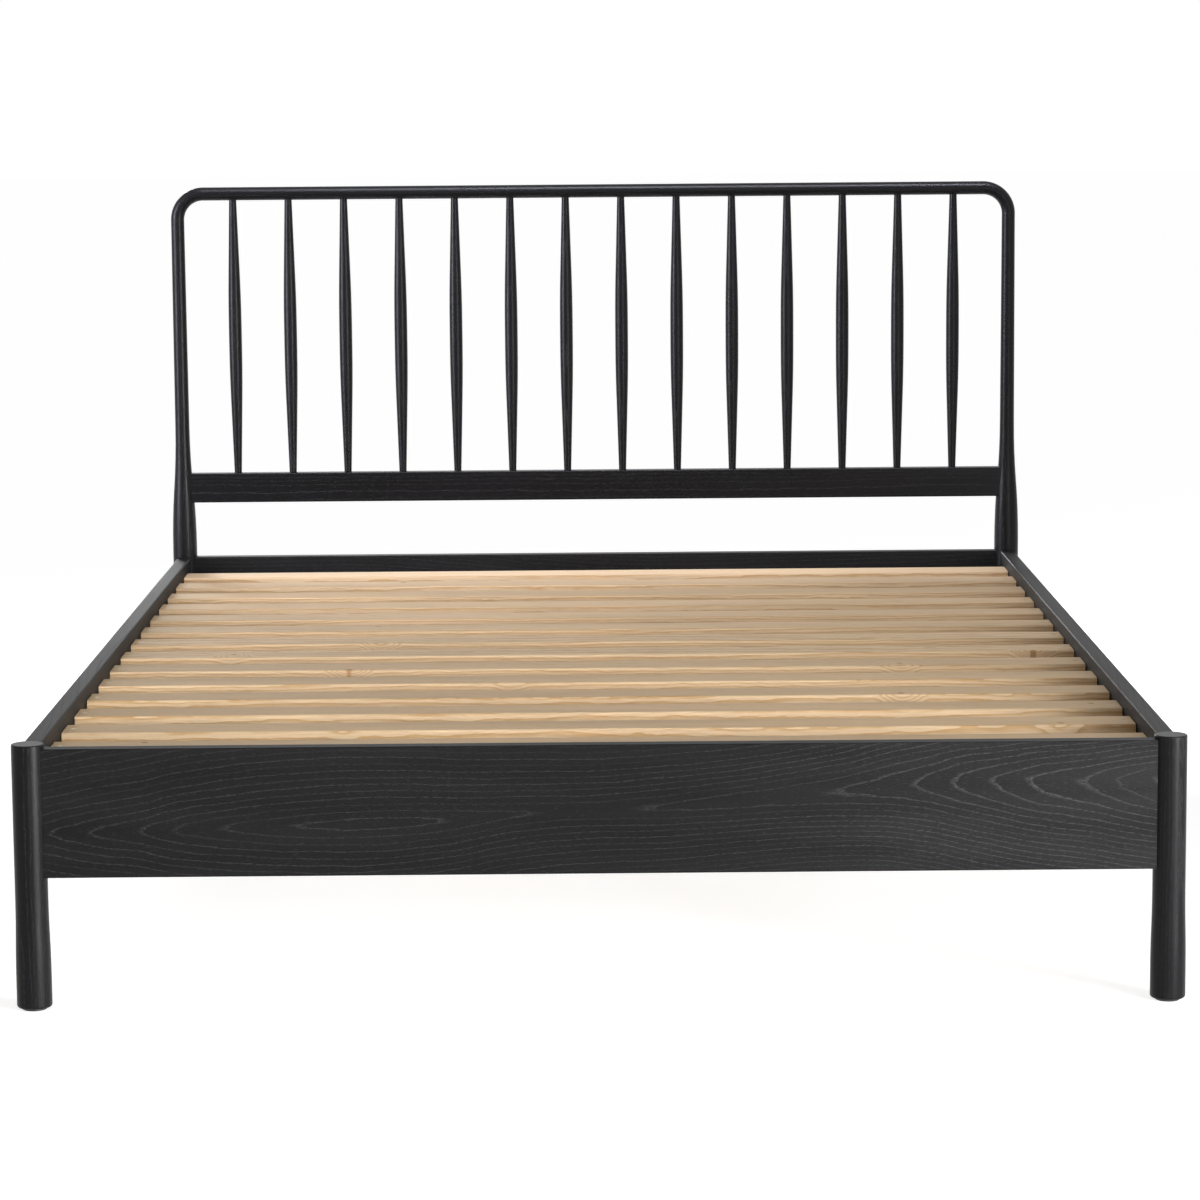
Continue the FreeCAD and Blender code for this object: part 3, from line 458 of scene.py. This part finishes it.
# pale pine of the slats, the ledges and the beam
palePine = {
    "early": (0.72, 0.535, 0.335, 1),
    "late": (0.53, 0.315, 0.135, 1),
    "knot": (0.42, 0.235, 0.105, 1),
    "knotCells": 4.6,
    "knotShare": 0.4,
    "knotHeart": (0.0035, 0.0065),
    "knotSwirl": (0.005, 0.045),
    "swirlDepth": 0.016,
    "spacing": 0.0046,
    "wander": 0.016,
    "lateRise": (0.35, 0.93),
    "lateFall": (0.94, 1.0),
    "lateShare": 0.8,
    "fibre": (14, 950, 950),
    "fibreShow": (0.25, 0.75, 0.9, 1.06),
    "patch": (1.4, 9.0, 9.0),
    "patchShow": (0.3, 0.7, 0.9, 1.05),
    "roughness": 0.66,
    "lateGloss": 0.1,
    "lateHeight": 0.6,
    "fibreHeight": 0.5,
    "bumpDepth": 0.00018,
    "bump": 0.5,
    "specular": 0.2,
}
# heart is how far below the board's middle the heart of the tree lies
pineCuts = {
    "slatPine": {"grain": "xyz", "heart": 0.06, "knots": 1.0},
    "lengthwisePine": {"grain": "yzx", "heart": 0.05, "knots": 0.0},
}


def makePine(name):
    setup = pineCuts[name]
    material, tree, shader = newMaterial(name)
    grain = grainVector(tree, setup["grain"])
    sockets = {"Vector": grain, "Scale": palePine["knotCells"]}
    cells = addNode(tree, "TexVoronoi", sockets, voronoi_dimensions="2D").outputs
    near = calc(tree, "DIVIDE", cells["Distance"], palePine["knotCells"])
    chance = addNode(tree, "SeparateColor", {0: cells["Color"]}).outputs[0]
    present = calc(tree, "LESS_THAN", chance, palePine["knotShare"] * setup["knots"])
    heart = calc(tree, "MULTIPLY", remap(tree, near, *palePine["knotHeart"], 1.0, 0.0), present)
    swirl = calc(tree, "MULTIPLY", remap(tree, near, *palePine["knotSwirl"], 1.0, 0.0), present)
    dip = calc(tree, "MULTIPLY_ADD", swirl, palePine["swirlDepth"], setup["heart"])
    sockets = {"Grain": grain, "Depth": dip, "Spacing": palePine["spacing"], "Wander": palePine["wander"]}
    phase = placeGroup(tree, growthRings, sockets)["Phase"]
    late = remap(tree, phase, *palePine["lateRise"])
    late = calc(tree, "MULTIPLY", late, remap(tree, phase, *palePine["lateFall"], 1.0, 0.0))
    fibre = noise(tree, stretch(tree, grain, palePine["fibre"]), 2.0)[0]
    patch = noise(tree, stretch(tree, grain, palePine["patch"]), 2.0)[0]
    darker = calc(tree, "MULTIPLY", late, palePine["lateShare"])
    colour = mixColour(tree, darker, palePine["early"], palePine["late"])
    shade = remap(tree, fibre, *palePine["fibreShow"])
    shade = calc(tree, "MULTIPLY", shade, remap(tree, patch, *palePine["patchShow"]))
    colour = mixColour(tree, 1.0, colour, greyTone(tree, shade), "MULTIPLY")
    colour = mixColour(tree, heart, colour, palePine["knot"])
    rough = calc(tree, "MULTIPLY_ADD", late, -palePine["lateGloss"], palePine["roughness"])
    height = calc(tree, "MULTIPLY", fibre, palePine["fibreHeight"])
    height = calc(tree, "MULTIPLY_ADD", late, palePine["lateHeight"], height)
    sockets = {"Height": height, "Distance": palePine["bumpDepth"], "Strength": palePine["bump"]}
    bump = addNode(tree, "Bump", sockets)
    feed(tree, shader.inputs["Base Color"], colour)
    feed(tree, shader.inputs["Roughness"], rough)
    feed(tree, shader.inputs["Normal"], bump.outputs[0])
    shader.inputs["Specular IOR Level"].default_value = palePine["specular"]
    return material


dress(makePine("slatPine"), *slatNames)
dress(makePine("lengthwisePine"), *named("slat_ledge", "centre_beam"))
print("pine done")


# metal, plastic and beech finishes
def makeFineTexture():
    group, start, end = newGroup(
        "fineTexture",
        [("Spot", "Vector", None), ("Size", "Float", 0.001), ("Patch", "Float", 0.02)],
        [("Grit", "Float"), ("Cloud", "Float")],
    )
    for label, size, detail in (("Grit", "Size", 1.0), ("Cloud", "Patch", 3.0)):
        scaled = calcVector(group, "SCALE", start["Spot"], calc(group, "DIVIDE", 1.0, start[size]))
        feed(group, end[label], noise(group, scaled, detail)[0])
    return group


fineTexture = makeFineTexture()
fittingTexture = {"colourShow": (0.3, 0.7), "roughnessShow": (0.35, 0.65), "bump": 0.6}
fittingFinishes = {
    "zincSteel": {
        "dark": (0.40, 0.41, 0.42, 1), "light": (0.66, 0.67, 0.68, 1), "metallic": 1.0,
        "specular": 0.5, "roughness": (0.28, 0.46), "grit": 0.0009, "patch": 0.006, "gritDepth": 0.00002,
    },
    "coatedSteel": {
        "dark": (0.012, 0.012, 0.013, 1), "light": (0.022, 0.022, 0.023, 1), "metallic": 0.0,
        "specular": 0.4, "roughness": (0.42, 0.56), "grit": 0.0006, "patch": 0.02, "gritDepth": 0.00005,
    },
    "blackPlastic": {
        "dark": (0.013, 0.013, 0.014, 1), "light": (0.019, 0.019, 0.020, 1), "metallic": 0.0,
        "specular": 0.45, "roughness": (0.36, 0.48), "grit": 0.0004, "patch": 0.015, "gritDepth": 0.00002,
    },
    "dowelBeech": {
        "dark": (0.50, 0.31, 0.18, 1), "light": (0.66, 0.45, 0.29, 1), "metallic": 0.0,
        "specular": 0.3, "roughness": (0.55, 0.65), "grit": 0.0007, "patch": 0.008, "gritDepth": 0.00004,
    },
}


def makeFitting(name):
    setup = fittingFinishes[name]
    material, tree, shader = newMaterial(name)
    spot = addNode(tree, "TexCoord").outputs["Object"]
    texture = placeGroup(tree, fineTexture, {"Spot": spot, "Size": setup["grit"], "Patch": setup["patch"]})
    share = remap(tree, texture["Cloud"], *fittingTexture["colourShow"])
    rough = remap(tree, texture["Cloud"], *fittingTexture["roughnessShow"], *setup["roughness"])
    sockets = {"Height": texture["Grit"], "Distance": setup["gritDepth"], "Strength": fittingTexture["bump"]}
    feed(tree, shader.inputs["Base Color"], mixColour(tree, share, setup["dark"], setup["light"]))
    feed(tree, shader.inputs["Roughness"], rough)
    feed(tree, shader.inputs["Normal"], addNode(tree, "Bump", sockets).outputs[0])
    shader.inputs["Metallic"].default_value = setup["metallic"]
    shader.inputs["Specular IOR Level"].default_value = setup["specular"]
    return material


zincSteel, coatedSteel, blackPlastic, dowelBeech = (makeFitting(name) for name in fittingFinishes)
dress(zincSteel, "half_moon_washers", "post_inserts", "leg_bolt", "leg_insert")
dress(blackPlastic, "post_glides")
dress(dowelBeech, "joint_dowels")
print("fitting finishes done")


# modelling helpers; two places nearer than this are one
samePlace = 1e-6
overlap = 0.001  # how far a cutter runs past the face it opens


def deselect():
    bpy.ops.object.select_all(action="DESELECT")


def activate(piece):
    deselect()
    piece.select_set(True)
    bpy.context.view_layer.objects.active = piece


def startEdit(piece, kind="FACE"):
    activate(piece)
    bpy.ops.object.mode_set(mode="EDIT")
    bpy.ops.mesh.select_mode(type=kind)
    bpy.ops.mesh.select_all(action="SELECT")


def pick(piece, kind, wanted):
    # selects the faces or edges that the test wants, by their middle
    bpy.ops.mesh.select_mode(type=kind)
    bpy.ops.mesh.select_all(action="DESELECT")
    bpy.ops.object.mode_set(mode="OBJECT")
    mesh = piece.data
    for item in mesh.polygons if kind == "FACE" else mesh.edges:
        spots = [mesh.vertices[index].co for index in item.vertices]
        middle = sum(spots, Vector()) / len(spots)
        item.select = wanted(middle, spots)
    bpy.ops.object.mode_set(mode="EDIT")


def endEdit():
    bpy.ops.object.mode_set(mode="OBJECT")


def extrudeUp(step, shrink=1.0):
    bpy.ops.mesh.extrude_region_move(TRANSFORM_OT_translate={"value": (0, 0, step)})
    if shrink != 1.0:
        bpy.ops.transform.resize(value=(shrink, shrink, 1), center_override=(0, 0, 0))


def addCylinder(radius, low, high, sides=48):
    deselect()
    bpy.ops.mesh.primitive_cylinder_add(
        vertices=sides, radius=radius, depth=high - low, location=(0, 0, (low + high) / 2)
    )
    bpy.ops.object.transform_apply(location=True)
    return bpy.context.object


def addBox(low, high):
    deselect()
    middle = [(a + b) / 2 for a, b in zip(low, high)]
    bpy.ops.mesh.primitive_cube_add(size=1, location=middle, scale=[b - a for a, b in zip(low, high)])
    bpy.ops.object.transform_apply(location=True, scale=True)
    return bpy.context.object


def bevelEnds(piece, low, high, offset, segments=1):
    startEdit(piece)
    pick(piece, "EDGE", lambda middle, spots: min(abs(middle.z - low), abs(middle.z - high)) < samePlace)
    bpy.ops.mesh.bevel(offset=offset, segments=segments)
    endEdit()


def combine(piece, other, operation):
    modifier = piece.modifiers.new("combine", "BOOLEAN")
    modifier.operation, modifier.object, modifier.solver = operation, other, "EXACT"
    activate(piece)
    bpy.ops.object.modifier_apply(modifier="combine")
    bpy.data.objects.remove(other)


def joinAll(pieces, name):
    deselect()
    for piece in pieces:
        piece.select_set(True)
    bpy.context.view_layer.objects.active = pieces[0]
    bpy.ops.object.transform_apply(location=True, rotation=True, scale=True)
    bpy.ops.object.join()
    bpy.context.object.name = name
    return bpy.context.object


def copyTo(pattern, name, places):
    # a copy with its own mesh at each place, its Z axis along the direction given there
    copies = []
    for spot, along in places:
        made = pattern.copy()
        made.data = pattern.data.copy()
        bpy.context.scene.collection.objects.link(made)
        made.rotation_mode = "QUATERNION"
        made.rotation_quaternion = Vector((0, 0, 1)).rotation_difference(Vector(along))
        made.location = spot
        copies.append(made)
    bpy.data.objects.remove(pattern)
    return joinAll(copies, name)


def settle(piece, material, body, slotName, *replaced, angle=35):
    activate(piece)
    bpy.ops.object.shade_smooth_by_angle(angle=math.radians(angle))
    piece.data.materials.clear()
    piece.data.materials.append(material)
    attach(piece, body)
    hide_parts(*replaced)


# threads and hexagons
metricThread = {
    "pitch": 0.00125, "crest": 0.0040, "root": 0.0034, "steps": 20, "chamfer": 0.0009,
    "flankShare": 0.42, "crestShare": 0.16, "mergeShare": 0.01, "blankShare": 1.02, "blankSides": 32,
}
hexagonBlank = {"share": 0.995, "sides": 64}


def makeThread(length):
    # the outline of one turn, swept up a screw and cut flat at both ends
    pitch, crest, root = (metricThread[key] for key in ("pitch", "crest", "root"))
    deselect()
    bpy.ops.mesh.primitive_plane_add(size=pitch)
    rod = bpy.context.object
    startEdit(rod, "VERT")
    bpy.ops.mesh.merge(type="CENTER")
    bpy.ops.transform.translate(value=(root, 0, -pitch))
    flank, flat = metricThread["flankShare"], metricThread["crestShare"]
    for out, up in ((crest - root, flank), (0, flat), (root - crest, flank)):
        bpy.ops.mesh.extrude_region_move(TRANSFORM_OT_translate={"value": (out, 0, up * pitch)})
    endEdit()
    screw = rod.modifiers.new("thread", "SCREW")
    screw.axis, screw.screw_offset, screw.iterations = "Z", pitch, math.ceil(length / pitch) + 1
    screw.steps = screw.render_steps = metricThread["steps"]
    merge = pitch * metricThread["mergeShare"]
    screw.use_merge_vertices, screw.merge_threshold = True, merge
    activate(rod)
    bpy.ops.object.modifier_apply(modifier="thread")
    startEdit(rod)
    bpy.ops.mesh.remove_doubles(threshold=merge)
    bpy.ops.mesh.normals_make_consistent(inside=False)
    bpy.ops.mesh.bisect(plane_co=(0, 0, 0), plane_no=(0, 0, 1), use_fill=True, clear_inner=True)
    bpy.ops.mesh.select_all(action="SELECT")
    bpy.ops.mesh.bisect(plane_co=(0, 0, length), plane_no=(0, 0, 1), use_fill=True, clear_outer=True)
    bpy.ops.mesh.select_all(action="SELECT")
    bpy.ops.mesh.normals_make_consistent(inside=False)
    endEdit()
    blank = addCylinder(crest * metricThread["blankShare"], 0, length, metricThread["blankSides"])
    bevelEnds(blank, 0, length, metricThread["chamfer"])
    combine(rod, blank, "INTERSECT")
    return rod


def makeHexagon(flats, height, chamfer):
    # corners on the X axis, both ends turned to a cone
    corner = flats / math.sqrt(3)
    piece = addCylinder(corner, 0, height, 6)
    startEdit(piece)
    bpy.ops.transform.rotate(value=math.pi / 2, orient_axis="Z", center_override=(0, 0, 0))
    endEdit()
    blank = addCylinder(corner * hexagonBlank["share"], 0, height, hexagonBlank["sides"])
    bevelEnds(blank, 0, height, chamfer)
    combine(piece, blank, "INTERSECT")
    return piece


# levelling foot under the centre leg
levelling = {
    "collarLow": 0.012, "collarHeight": 0.006, "collarChamfer": 0.0009, "padEdge": 0.004, "neckRadius": 0.010,
    "socketRadius": 0.0043, "padFloor": 0.003, "padRound": 0.0008, "soleInset": 0.003, "soleDepth": 0.0008,
    "padSides": 72, "roundSteps": 3,
}


def makeLevellingScrew():
    low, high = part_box("levelling_stud")
    rod = makeThread(high.z - low.z)
    rod.location.z = low.z
    collar = makeHexagon(high.y - low.y, levelling["collarHeight"], levelling["collarChamfer"])
    collar.location.z = levelling["collarLow"]
    piece = joinAll([rod, collar], "levellingScrew")
    settle(piece, zincSteel, "levelling_screw", "zinc_steel", "levelling_stud")


def makeLevellingPad():
    edge, neck = levelling["padEdge"], levelling["neckRadius"]
    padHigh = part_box("levelling_pad")[1]
    radius, high = padHigh.x, padHigh.z
    pad = addCylinder(radius, 0, edge, levelling["padSides"])
    startEdit(pad)
    pick(pad, "FACE", lambda middle, spots: middle.z > edge - samePlace)
    extrudeUp(high - edge, neck / radius)
    bpy.ops.mesh.inset(thickness=neck - levelling["socketRadius"])
    extrudeUp(levelling["padFloor"] - high)
    pick(pad, "FACE", lambda middle, spots: middle.z < samePlace)
    bpy.ops.mesh.inset(thickness=levelling["soleInset"])
    extrudeUp(levelling["soleDepth"])

    def onRing(spot, size):
        return abs(math.hypot(spot.x, spot.y) - size) < 10 * samePlace

    def rim(middle, spots):
        level = abs(spots[0].z - spots[1].z) < samePlace
        wide = all(onRing(spot, radius) for spot in spots)
        top = all(onRing(spot, neck) and abs(spot.z - high) < samePlace for spot in spots)
        return (wide and level) or top

    pick(pad, "EDGE", rim)
    bpy.ops.mesh.bevel(offset=levelling["padRound"], segments=levelling["roundSteps"])
    endEdit()
    pad.name = "levellingPad"
    settle(pad, blackPlastic, "levelling_foot", "black_plastic", "levelling_pad")


makeLevellingScrew()
makeLevellingPad()
print("levelling foot done")

# studs and nuts that draw the side rails to the posts
railFittings = {
    "studLength": 0.0786, "nutHeight": 0.0065, "nutFlats": 0.013, "nutBore": 0.0041, "nutChamfer": 0.0009,
    "boreSides": 32,
}


def fittingPlaces(name, length):
    # two at each end of each side rail, with their outer ends where the node ends
    nutLow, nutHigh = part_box("stud_nuts")
    half = railFittings["nutFlats"] / 2
    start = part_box(name)[1].y - length
    return [
        ((x * sideRailX, y * start, level), (0, y, 0))
        for x in (-1, 1)
        for y in (-1, 1)
        for level in (nutLow.z + half, nutHigh.z - half)
    ]


def makeRailFittings():
    long = railFittings["studLength"]
    studs = copyTo(makeThread(long), "railStuds", fittingPlaces("rail_studs", long))
    settle(studs, zincSteel, "frame", "zinc_steel", "rail_studs")
    high = railFittings["nutHeight"]
    nut = makeHexagon(railFittings["nutFlats"], high, railFittings["nutChamfer"])
    bore = addCylinder(railFittings["nutBore"], -overlap, high + overlap, railFittings["boreSides"])
    combine(nut, bore, "DIFFERENCE")
    nuts = copyTo(nut, "studNuts", fittingPlaces("stud_nuts", high))
    settle(nuts, zincSteel, "frame", "zinc_steel", "stud_nuts")


makeRailFittings()
print("rail fittings done")

# wood screws with a cross recess
woodScrew = {
    "headRadius": 0.004, "shankRadius": 0.002, "headHeight": 0.003, "tip": 0.006, "land": 0.0003,
    "recessReach": 0.0023, "recessWidth": 0.0010, "recessDepth": 0.0019, "recessTaper": 0.6,
    "domeRound": 0.0014, "domeSteps": 4, "tipShare": 0.08, "sides": 32,
}
screwLengths = {"ledge": 0.042, "hanger": 0.020}
hangerScrewInset = 0.015  # from the plate's lower and upper edges


def makeScrew(length, countersunk):
    # driven along Z: the head's seat or top is at zero
    head, shank, high = (woodScrew[key] for key in ("headRadius", "shankRadius", "headHeight"))
    top = 0 if countersunk else -high
    land = woodScrew["land"] if countersunk else high
    screw = addCylinder(head, top, top + land, woodScrew["sides"])
    startEdit(screw)
    pick(screw, "FACE", lambda middle, spots: middle.z > top + land - samePlace and len(spots) > 4)
    if countersunk:
        extrudeUp(high - land, shank / head)
    else:
        bpy.ops.mesh.inset(thickness=head - shank)
    extrudeUp(length - max(top + high, 0) - woodScrew["tip"])
    extrudeUp(woodScrew["tip"], woodScrew["tipShare"])
    if not countersunk:
        pick(screw, "EDGE", lambda middle, spots: all(abs(spot.z - top) < samePlace for spot in spots))
        bpy.ops.mesh.bevel(offset=woodScrew["domeRound"], segments=woodScrew["domeSteps"])
    endEdit()
    reach, half, deep = woodScrew["recessReach"], woodScrew["recessWidth"] / 2, woodScrew["recessDepth"]
    taper = woodScrew["recessTaper"]
    for long, wide in ((reach, half), (half, reach)):
        cutter = addBox((-long, -wide, top - overlap), (long, wide, top + deep))
        startEdit(cutter)
        pick(cutter, "FACE", lambda middle, spots: middle.z > top + deep - samePlace)
        bpy.ops.transform.resize(value=(taper, taper, 1), center_override=(0, 0, 0))
        endEdit()
        combine(screw, cutter, "DIFFERENCE")
    return screw


def makeScrews():
    head = woodScrew["headRadius"]
    low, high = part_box("slat_screws")
    places = [((x * (high.x - head), y, high.z), (0, 0, -1)) for x in (-1, 1) for y in slatRow]
    piece = copyTo(makeScrew(high.z - low.z, True), "slatScrews", places)
    settle(piece, zincSteel, "frame", "zinc_steel", "slat_screws")
    # the ledge screws sit midway between the slats, in every second gap
    long = screwLengths["ledge"]
    low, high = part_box("ledge_screws")
    level = (low.z + high.z) / 2
    gaps = [(near + far) / 2 for near, far in zip(slatRow[::2], slatRow[1::2])]
    places = [((x * (high.x - long), y, level), (x, 0, 0)) for x in (-1, 1) for y in gaps]
    piece = copyTo(makeScrew(long, True), "ledgeScrews", places)
    settle(piece, zincSteel, "frame", "zinc_steel", "ledge_screws")
    long = screwLengths["hanger"]
    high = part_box("hanger_screws")[1]
    plateLow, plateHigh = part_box("beam_hanger_head")
    places = [
        ((x * (high.x - head), y * (high.y - long), level), (0, y, 0))
        for x in (-1, 1)
        for y in (-1, 1)
        for level in (plateLow.z + hangerScrewInset, plateHigh.z - hangerScrewInset)
    ]
    piece = copyTo(makeScrew(long, False), "hangerScrews", places)
    settle(piece, zincSteel, "frame", "zinc_steel", "hanger_screws")


makeScrews()
print("screws done")

# folded steel hangers at the beam's ends
hanger = {
    "thick": 0.0025, "beamPlay": 0.0001, "plateRound": 0.008, "plateSteps": 6, "cheekRound": 0.016,
    "cheekSteps": 8, "edgeRound": 0.0006, "edgeSteps": 2, "edgeAngle": 40,
}


def makeHanger(end, name):
    boxLow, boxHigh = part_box(name)
    low, high, plate = boxLow.z, boxHigh.z, boxHigh.x
    thick, cheek = hanger["thick"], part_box("centre_beam")[1].x + hanger["beamPlay"]
    back, front = (boxLow.y, boxHigh.y) if end < 0 else (boxHigh.y, boxLow.y)
    nearY, farY = sorted((back, back - end * thick)), sorted((back, front))
    piece = addBox((-plate, nearY[0], low), (plate, nearY[1], high))

    def plateCorner(middle, spots):
        through = abs(spots[0].y - spots[1].y) > samePlace
        return through and abs(abs(middle.x) - plate) < samePlace

    def cheekFrontTop(middle, spots):
        return abs(middle.y - front) < samePlace and middle.z > high - samePlace

    startEdit(piece)
    pick(piece, "EDGE", plateCorner)
    bpy.ops.mesh.bevel(offset=hanger["plateRound"], segments=hanger["plateSteps"])
    endEdit()
    for side in (-1, 1):
        sheetX = sorted((side * cheek, side * (cheek + thick)))
        sheet = addBox((sheetX[0], farY[0], low), (sheetX[1], farY[1], high))
        startEdit(sheet)
        pick(sheet, "EDGE", cheekFrontTop)
        bpy.ops.mesh.bevel(offset=hanger["cheekRound"], segments=hanger["cheekSteps"])
        endEdit()
        combine(piece, sheet, "UNION")
    tray = addBox((-cheek - thick / 2, farY[0], low), (cheek + thick / 2, farY[1], low + thick))
    combine(piece, tray, "UNION")
    bevel = piece.modifiers.new("softEdges", "BEVEL")
    bevel.width, bevel.segments = hanger["edgeRound"], hanger["edgeSteps"]
    bevel.limit_method, bevel.angle_limit = "ANGLE", math.radians(hanger["edgeAngle"])
    activate(piece)
    bpy.ops.object.modifier_apply(modifier="softEdges")
    return piece


for end, ending in ((-1, "foot"), (1, "head")):
    made = makeHanger(end, "beam_hanger_" + ending)
    made.name = "beamHanger" + ending.capitalize()
    settle(made, coatedSteel, "frame", "black_coated_steel", "beam_hanger_" + ending)
print("beam hangers done")

# camera at the photograph's place
cameraSetup = {
    "place": (-0.009, -6.1145, 1.268),
    "yaw": 0.13,
    "pitch": -7.94,
    "roll": -0.46,
    "framePixels": 1200,
    "focalPixels": 3808,
    "farthest": 200,
}


def makeCamera():
    data = bpy.data.cameras.new("photoCamera")
    camera = bpy.data.objects.new("photoCamera", data)
    bpy.context.scene.collection.objects.link(camera)
    data.lens = data.sensor_width * cameraSetup["focalPixels"] / cameraSetup["framePixels"]
    camera.location = cameraSetup["place"]
    yaw, pitch, roll = (math.radians(cameraSetup[key]) for key in ("yaw", "pitch", "roll"))
    aim = Euler((math.pi / 2 + pitch, 0, -yaw)).to_quaternion()
    camera.rotation_mode = "QUATERNION"
    camera.rotation_quaternion = aim @ Quaternion((0, 0, 1), roll)
    data.clip_end = cameraSetup["farthest"]
    bpy.context.scene.camera = camera


# white studio: pale floor, soft lamps, white all round
studio = {
    "floorSize": 80,
    "floorDrop": 0.0002,
    "floorColour": (0.65, 0.65, 0.65, 1),
    "floorGlow": 0.75,
    "ambient": 0.37,
    "zenith": 0.8,
    "zenithFade": (0.35, 0.95),
}
plainWhite, coolWhite = (1, 1, 1), (0.85, 0.86, 1)
lamps = {
    "keyLamp": {
        "place": (3.2, -4.2, 0.7), "aim": (-0.8, -1.0, 0.25), "size": (1.6, 1.4),
        "watts": 27, "spread": 36, "colour": plainWhite,
    },
    "cornerLamp": {
        "place": (1.9, -2.7, 0.6), "aim": (0.75, -1.03, 0.25), "size": (0.8, 0.8),
        "watts": 4.5, "spread": 56, "colour": plainWhite,
    },
    "sideLamp": {
        "place": (-3.2, -0.6, 1.3), "aim": (-0.2, 1.03, 1.1), "size": (0.9, 1.8),
        "watts": 16, "spread": 50, "colour": coolWhite,
    },
    "crestLamp": {
        "place": (0.5, -0.1, 3.5), "aim": (0.2, 1.37, 1.04), "size": (2.4, 0.9),
        "watts": 15, "spread": 30, "colour": coolWhite,
    },
    "backLamp": {
        "place": (-1.3, 4.2, 1.7), "aim": (0.1, 1.2, 0.2), "size": (1.6, 1.0),
        "watts": 9, "spread": 30, "colour": plainWhite,
    },
}


def seenRays(tree):
    path = addNode(tree, "LightPath").outputs
    shiny = calc(tree, "MAXIMUM", path["Is Glossy Ray"], path["Is Transmission Ray"])
    return calc(tree, "MAXIMUM", path["Is Camera Ray"], shiny)


def makeStudio():
    bpy.ops.mesh.primitive_plane_add(size=studio["floorSize"], location=(0, 0, -studio["floorDrop"]))
    floor = bpy.context.object
    floor.name = "floor"
    bpy.ops.object.transform_apply(location=True)
    material, tree, shader = newMaterial("paleFloor")
    tree.nodes.remove(shader)
    plain = addNode(tree, "BsdfDiffuse", {"Color": studio["floorColour"]})
    strength = calc(tree, "MULTIPLY", seenRays(tree), studio["floorGlow"])
    glow = addNode(tree, "Emission", {"Strength": strength})
    both = addNode(tree, "AddShader", {0: plain.outputs[0], 1: glow.outputs[0]})
    feed(tree, tree.nodes["Material Output"].inputs["Surface"], both.outputs[0])
    floor.data.materials.append(material)
    world = bpy.data.worlds.new("studioWorld")
    bpy.context.scene.world = world
    world.use_nodes = True
    tree = world.node_tree
    tree.nodes.clear()
    up = addNode(tree, "SeparateXYZ", {0: addNode(tree, "TexCoord").outputs["Generated"]}).outputs["Z"]
    fade = remap(tree, up, *studio["zenithFade"], 1.0, studio["zenith"])
    ambient = addNode(tree, "Background", {"Strength": studio["ambient"]})
    white = addNode(tree, "Background", {"Strength": fade})
    ambient.inputs[0].default_value = white.inputs[0].default_value = (1, 1, 1, 1)
    mix = addNode(tree, "MixShader", {0: seenRays(tree), 1: ambient.outputs[0], 2: white.outputs[0]})
    end = addNode(tree, "OutputWorld")
    feed(tree, end.inputs["Surface"], mix.outputs[0])
    for name, setup in lamps.items():
        data = bpy.data.lights.new(name, "AREA")
        data.shape = "RECTANGLE"
        data.size, data.size_y = setup["size"]
        data.energy = setup["watts"]
        data.color = setup["colour"]
        data.spread = math.radians(setup["spread"])
        lamp = bpy.data.objects.new(name, data)
        bpy.context.scene.collection.objects.link(lamp)
        lamp.location = setup["place"]
        lamp.rotation_euler = (Vector(setup["aim"]) - lamp.location).to_track_quat("-Z", "Y").to_euler()
    bpy.context.scene.view_settings.view_transform = "Standard"


makeCamera()
makeStudio()
print("camera and studio done")
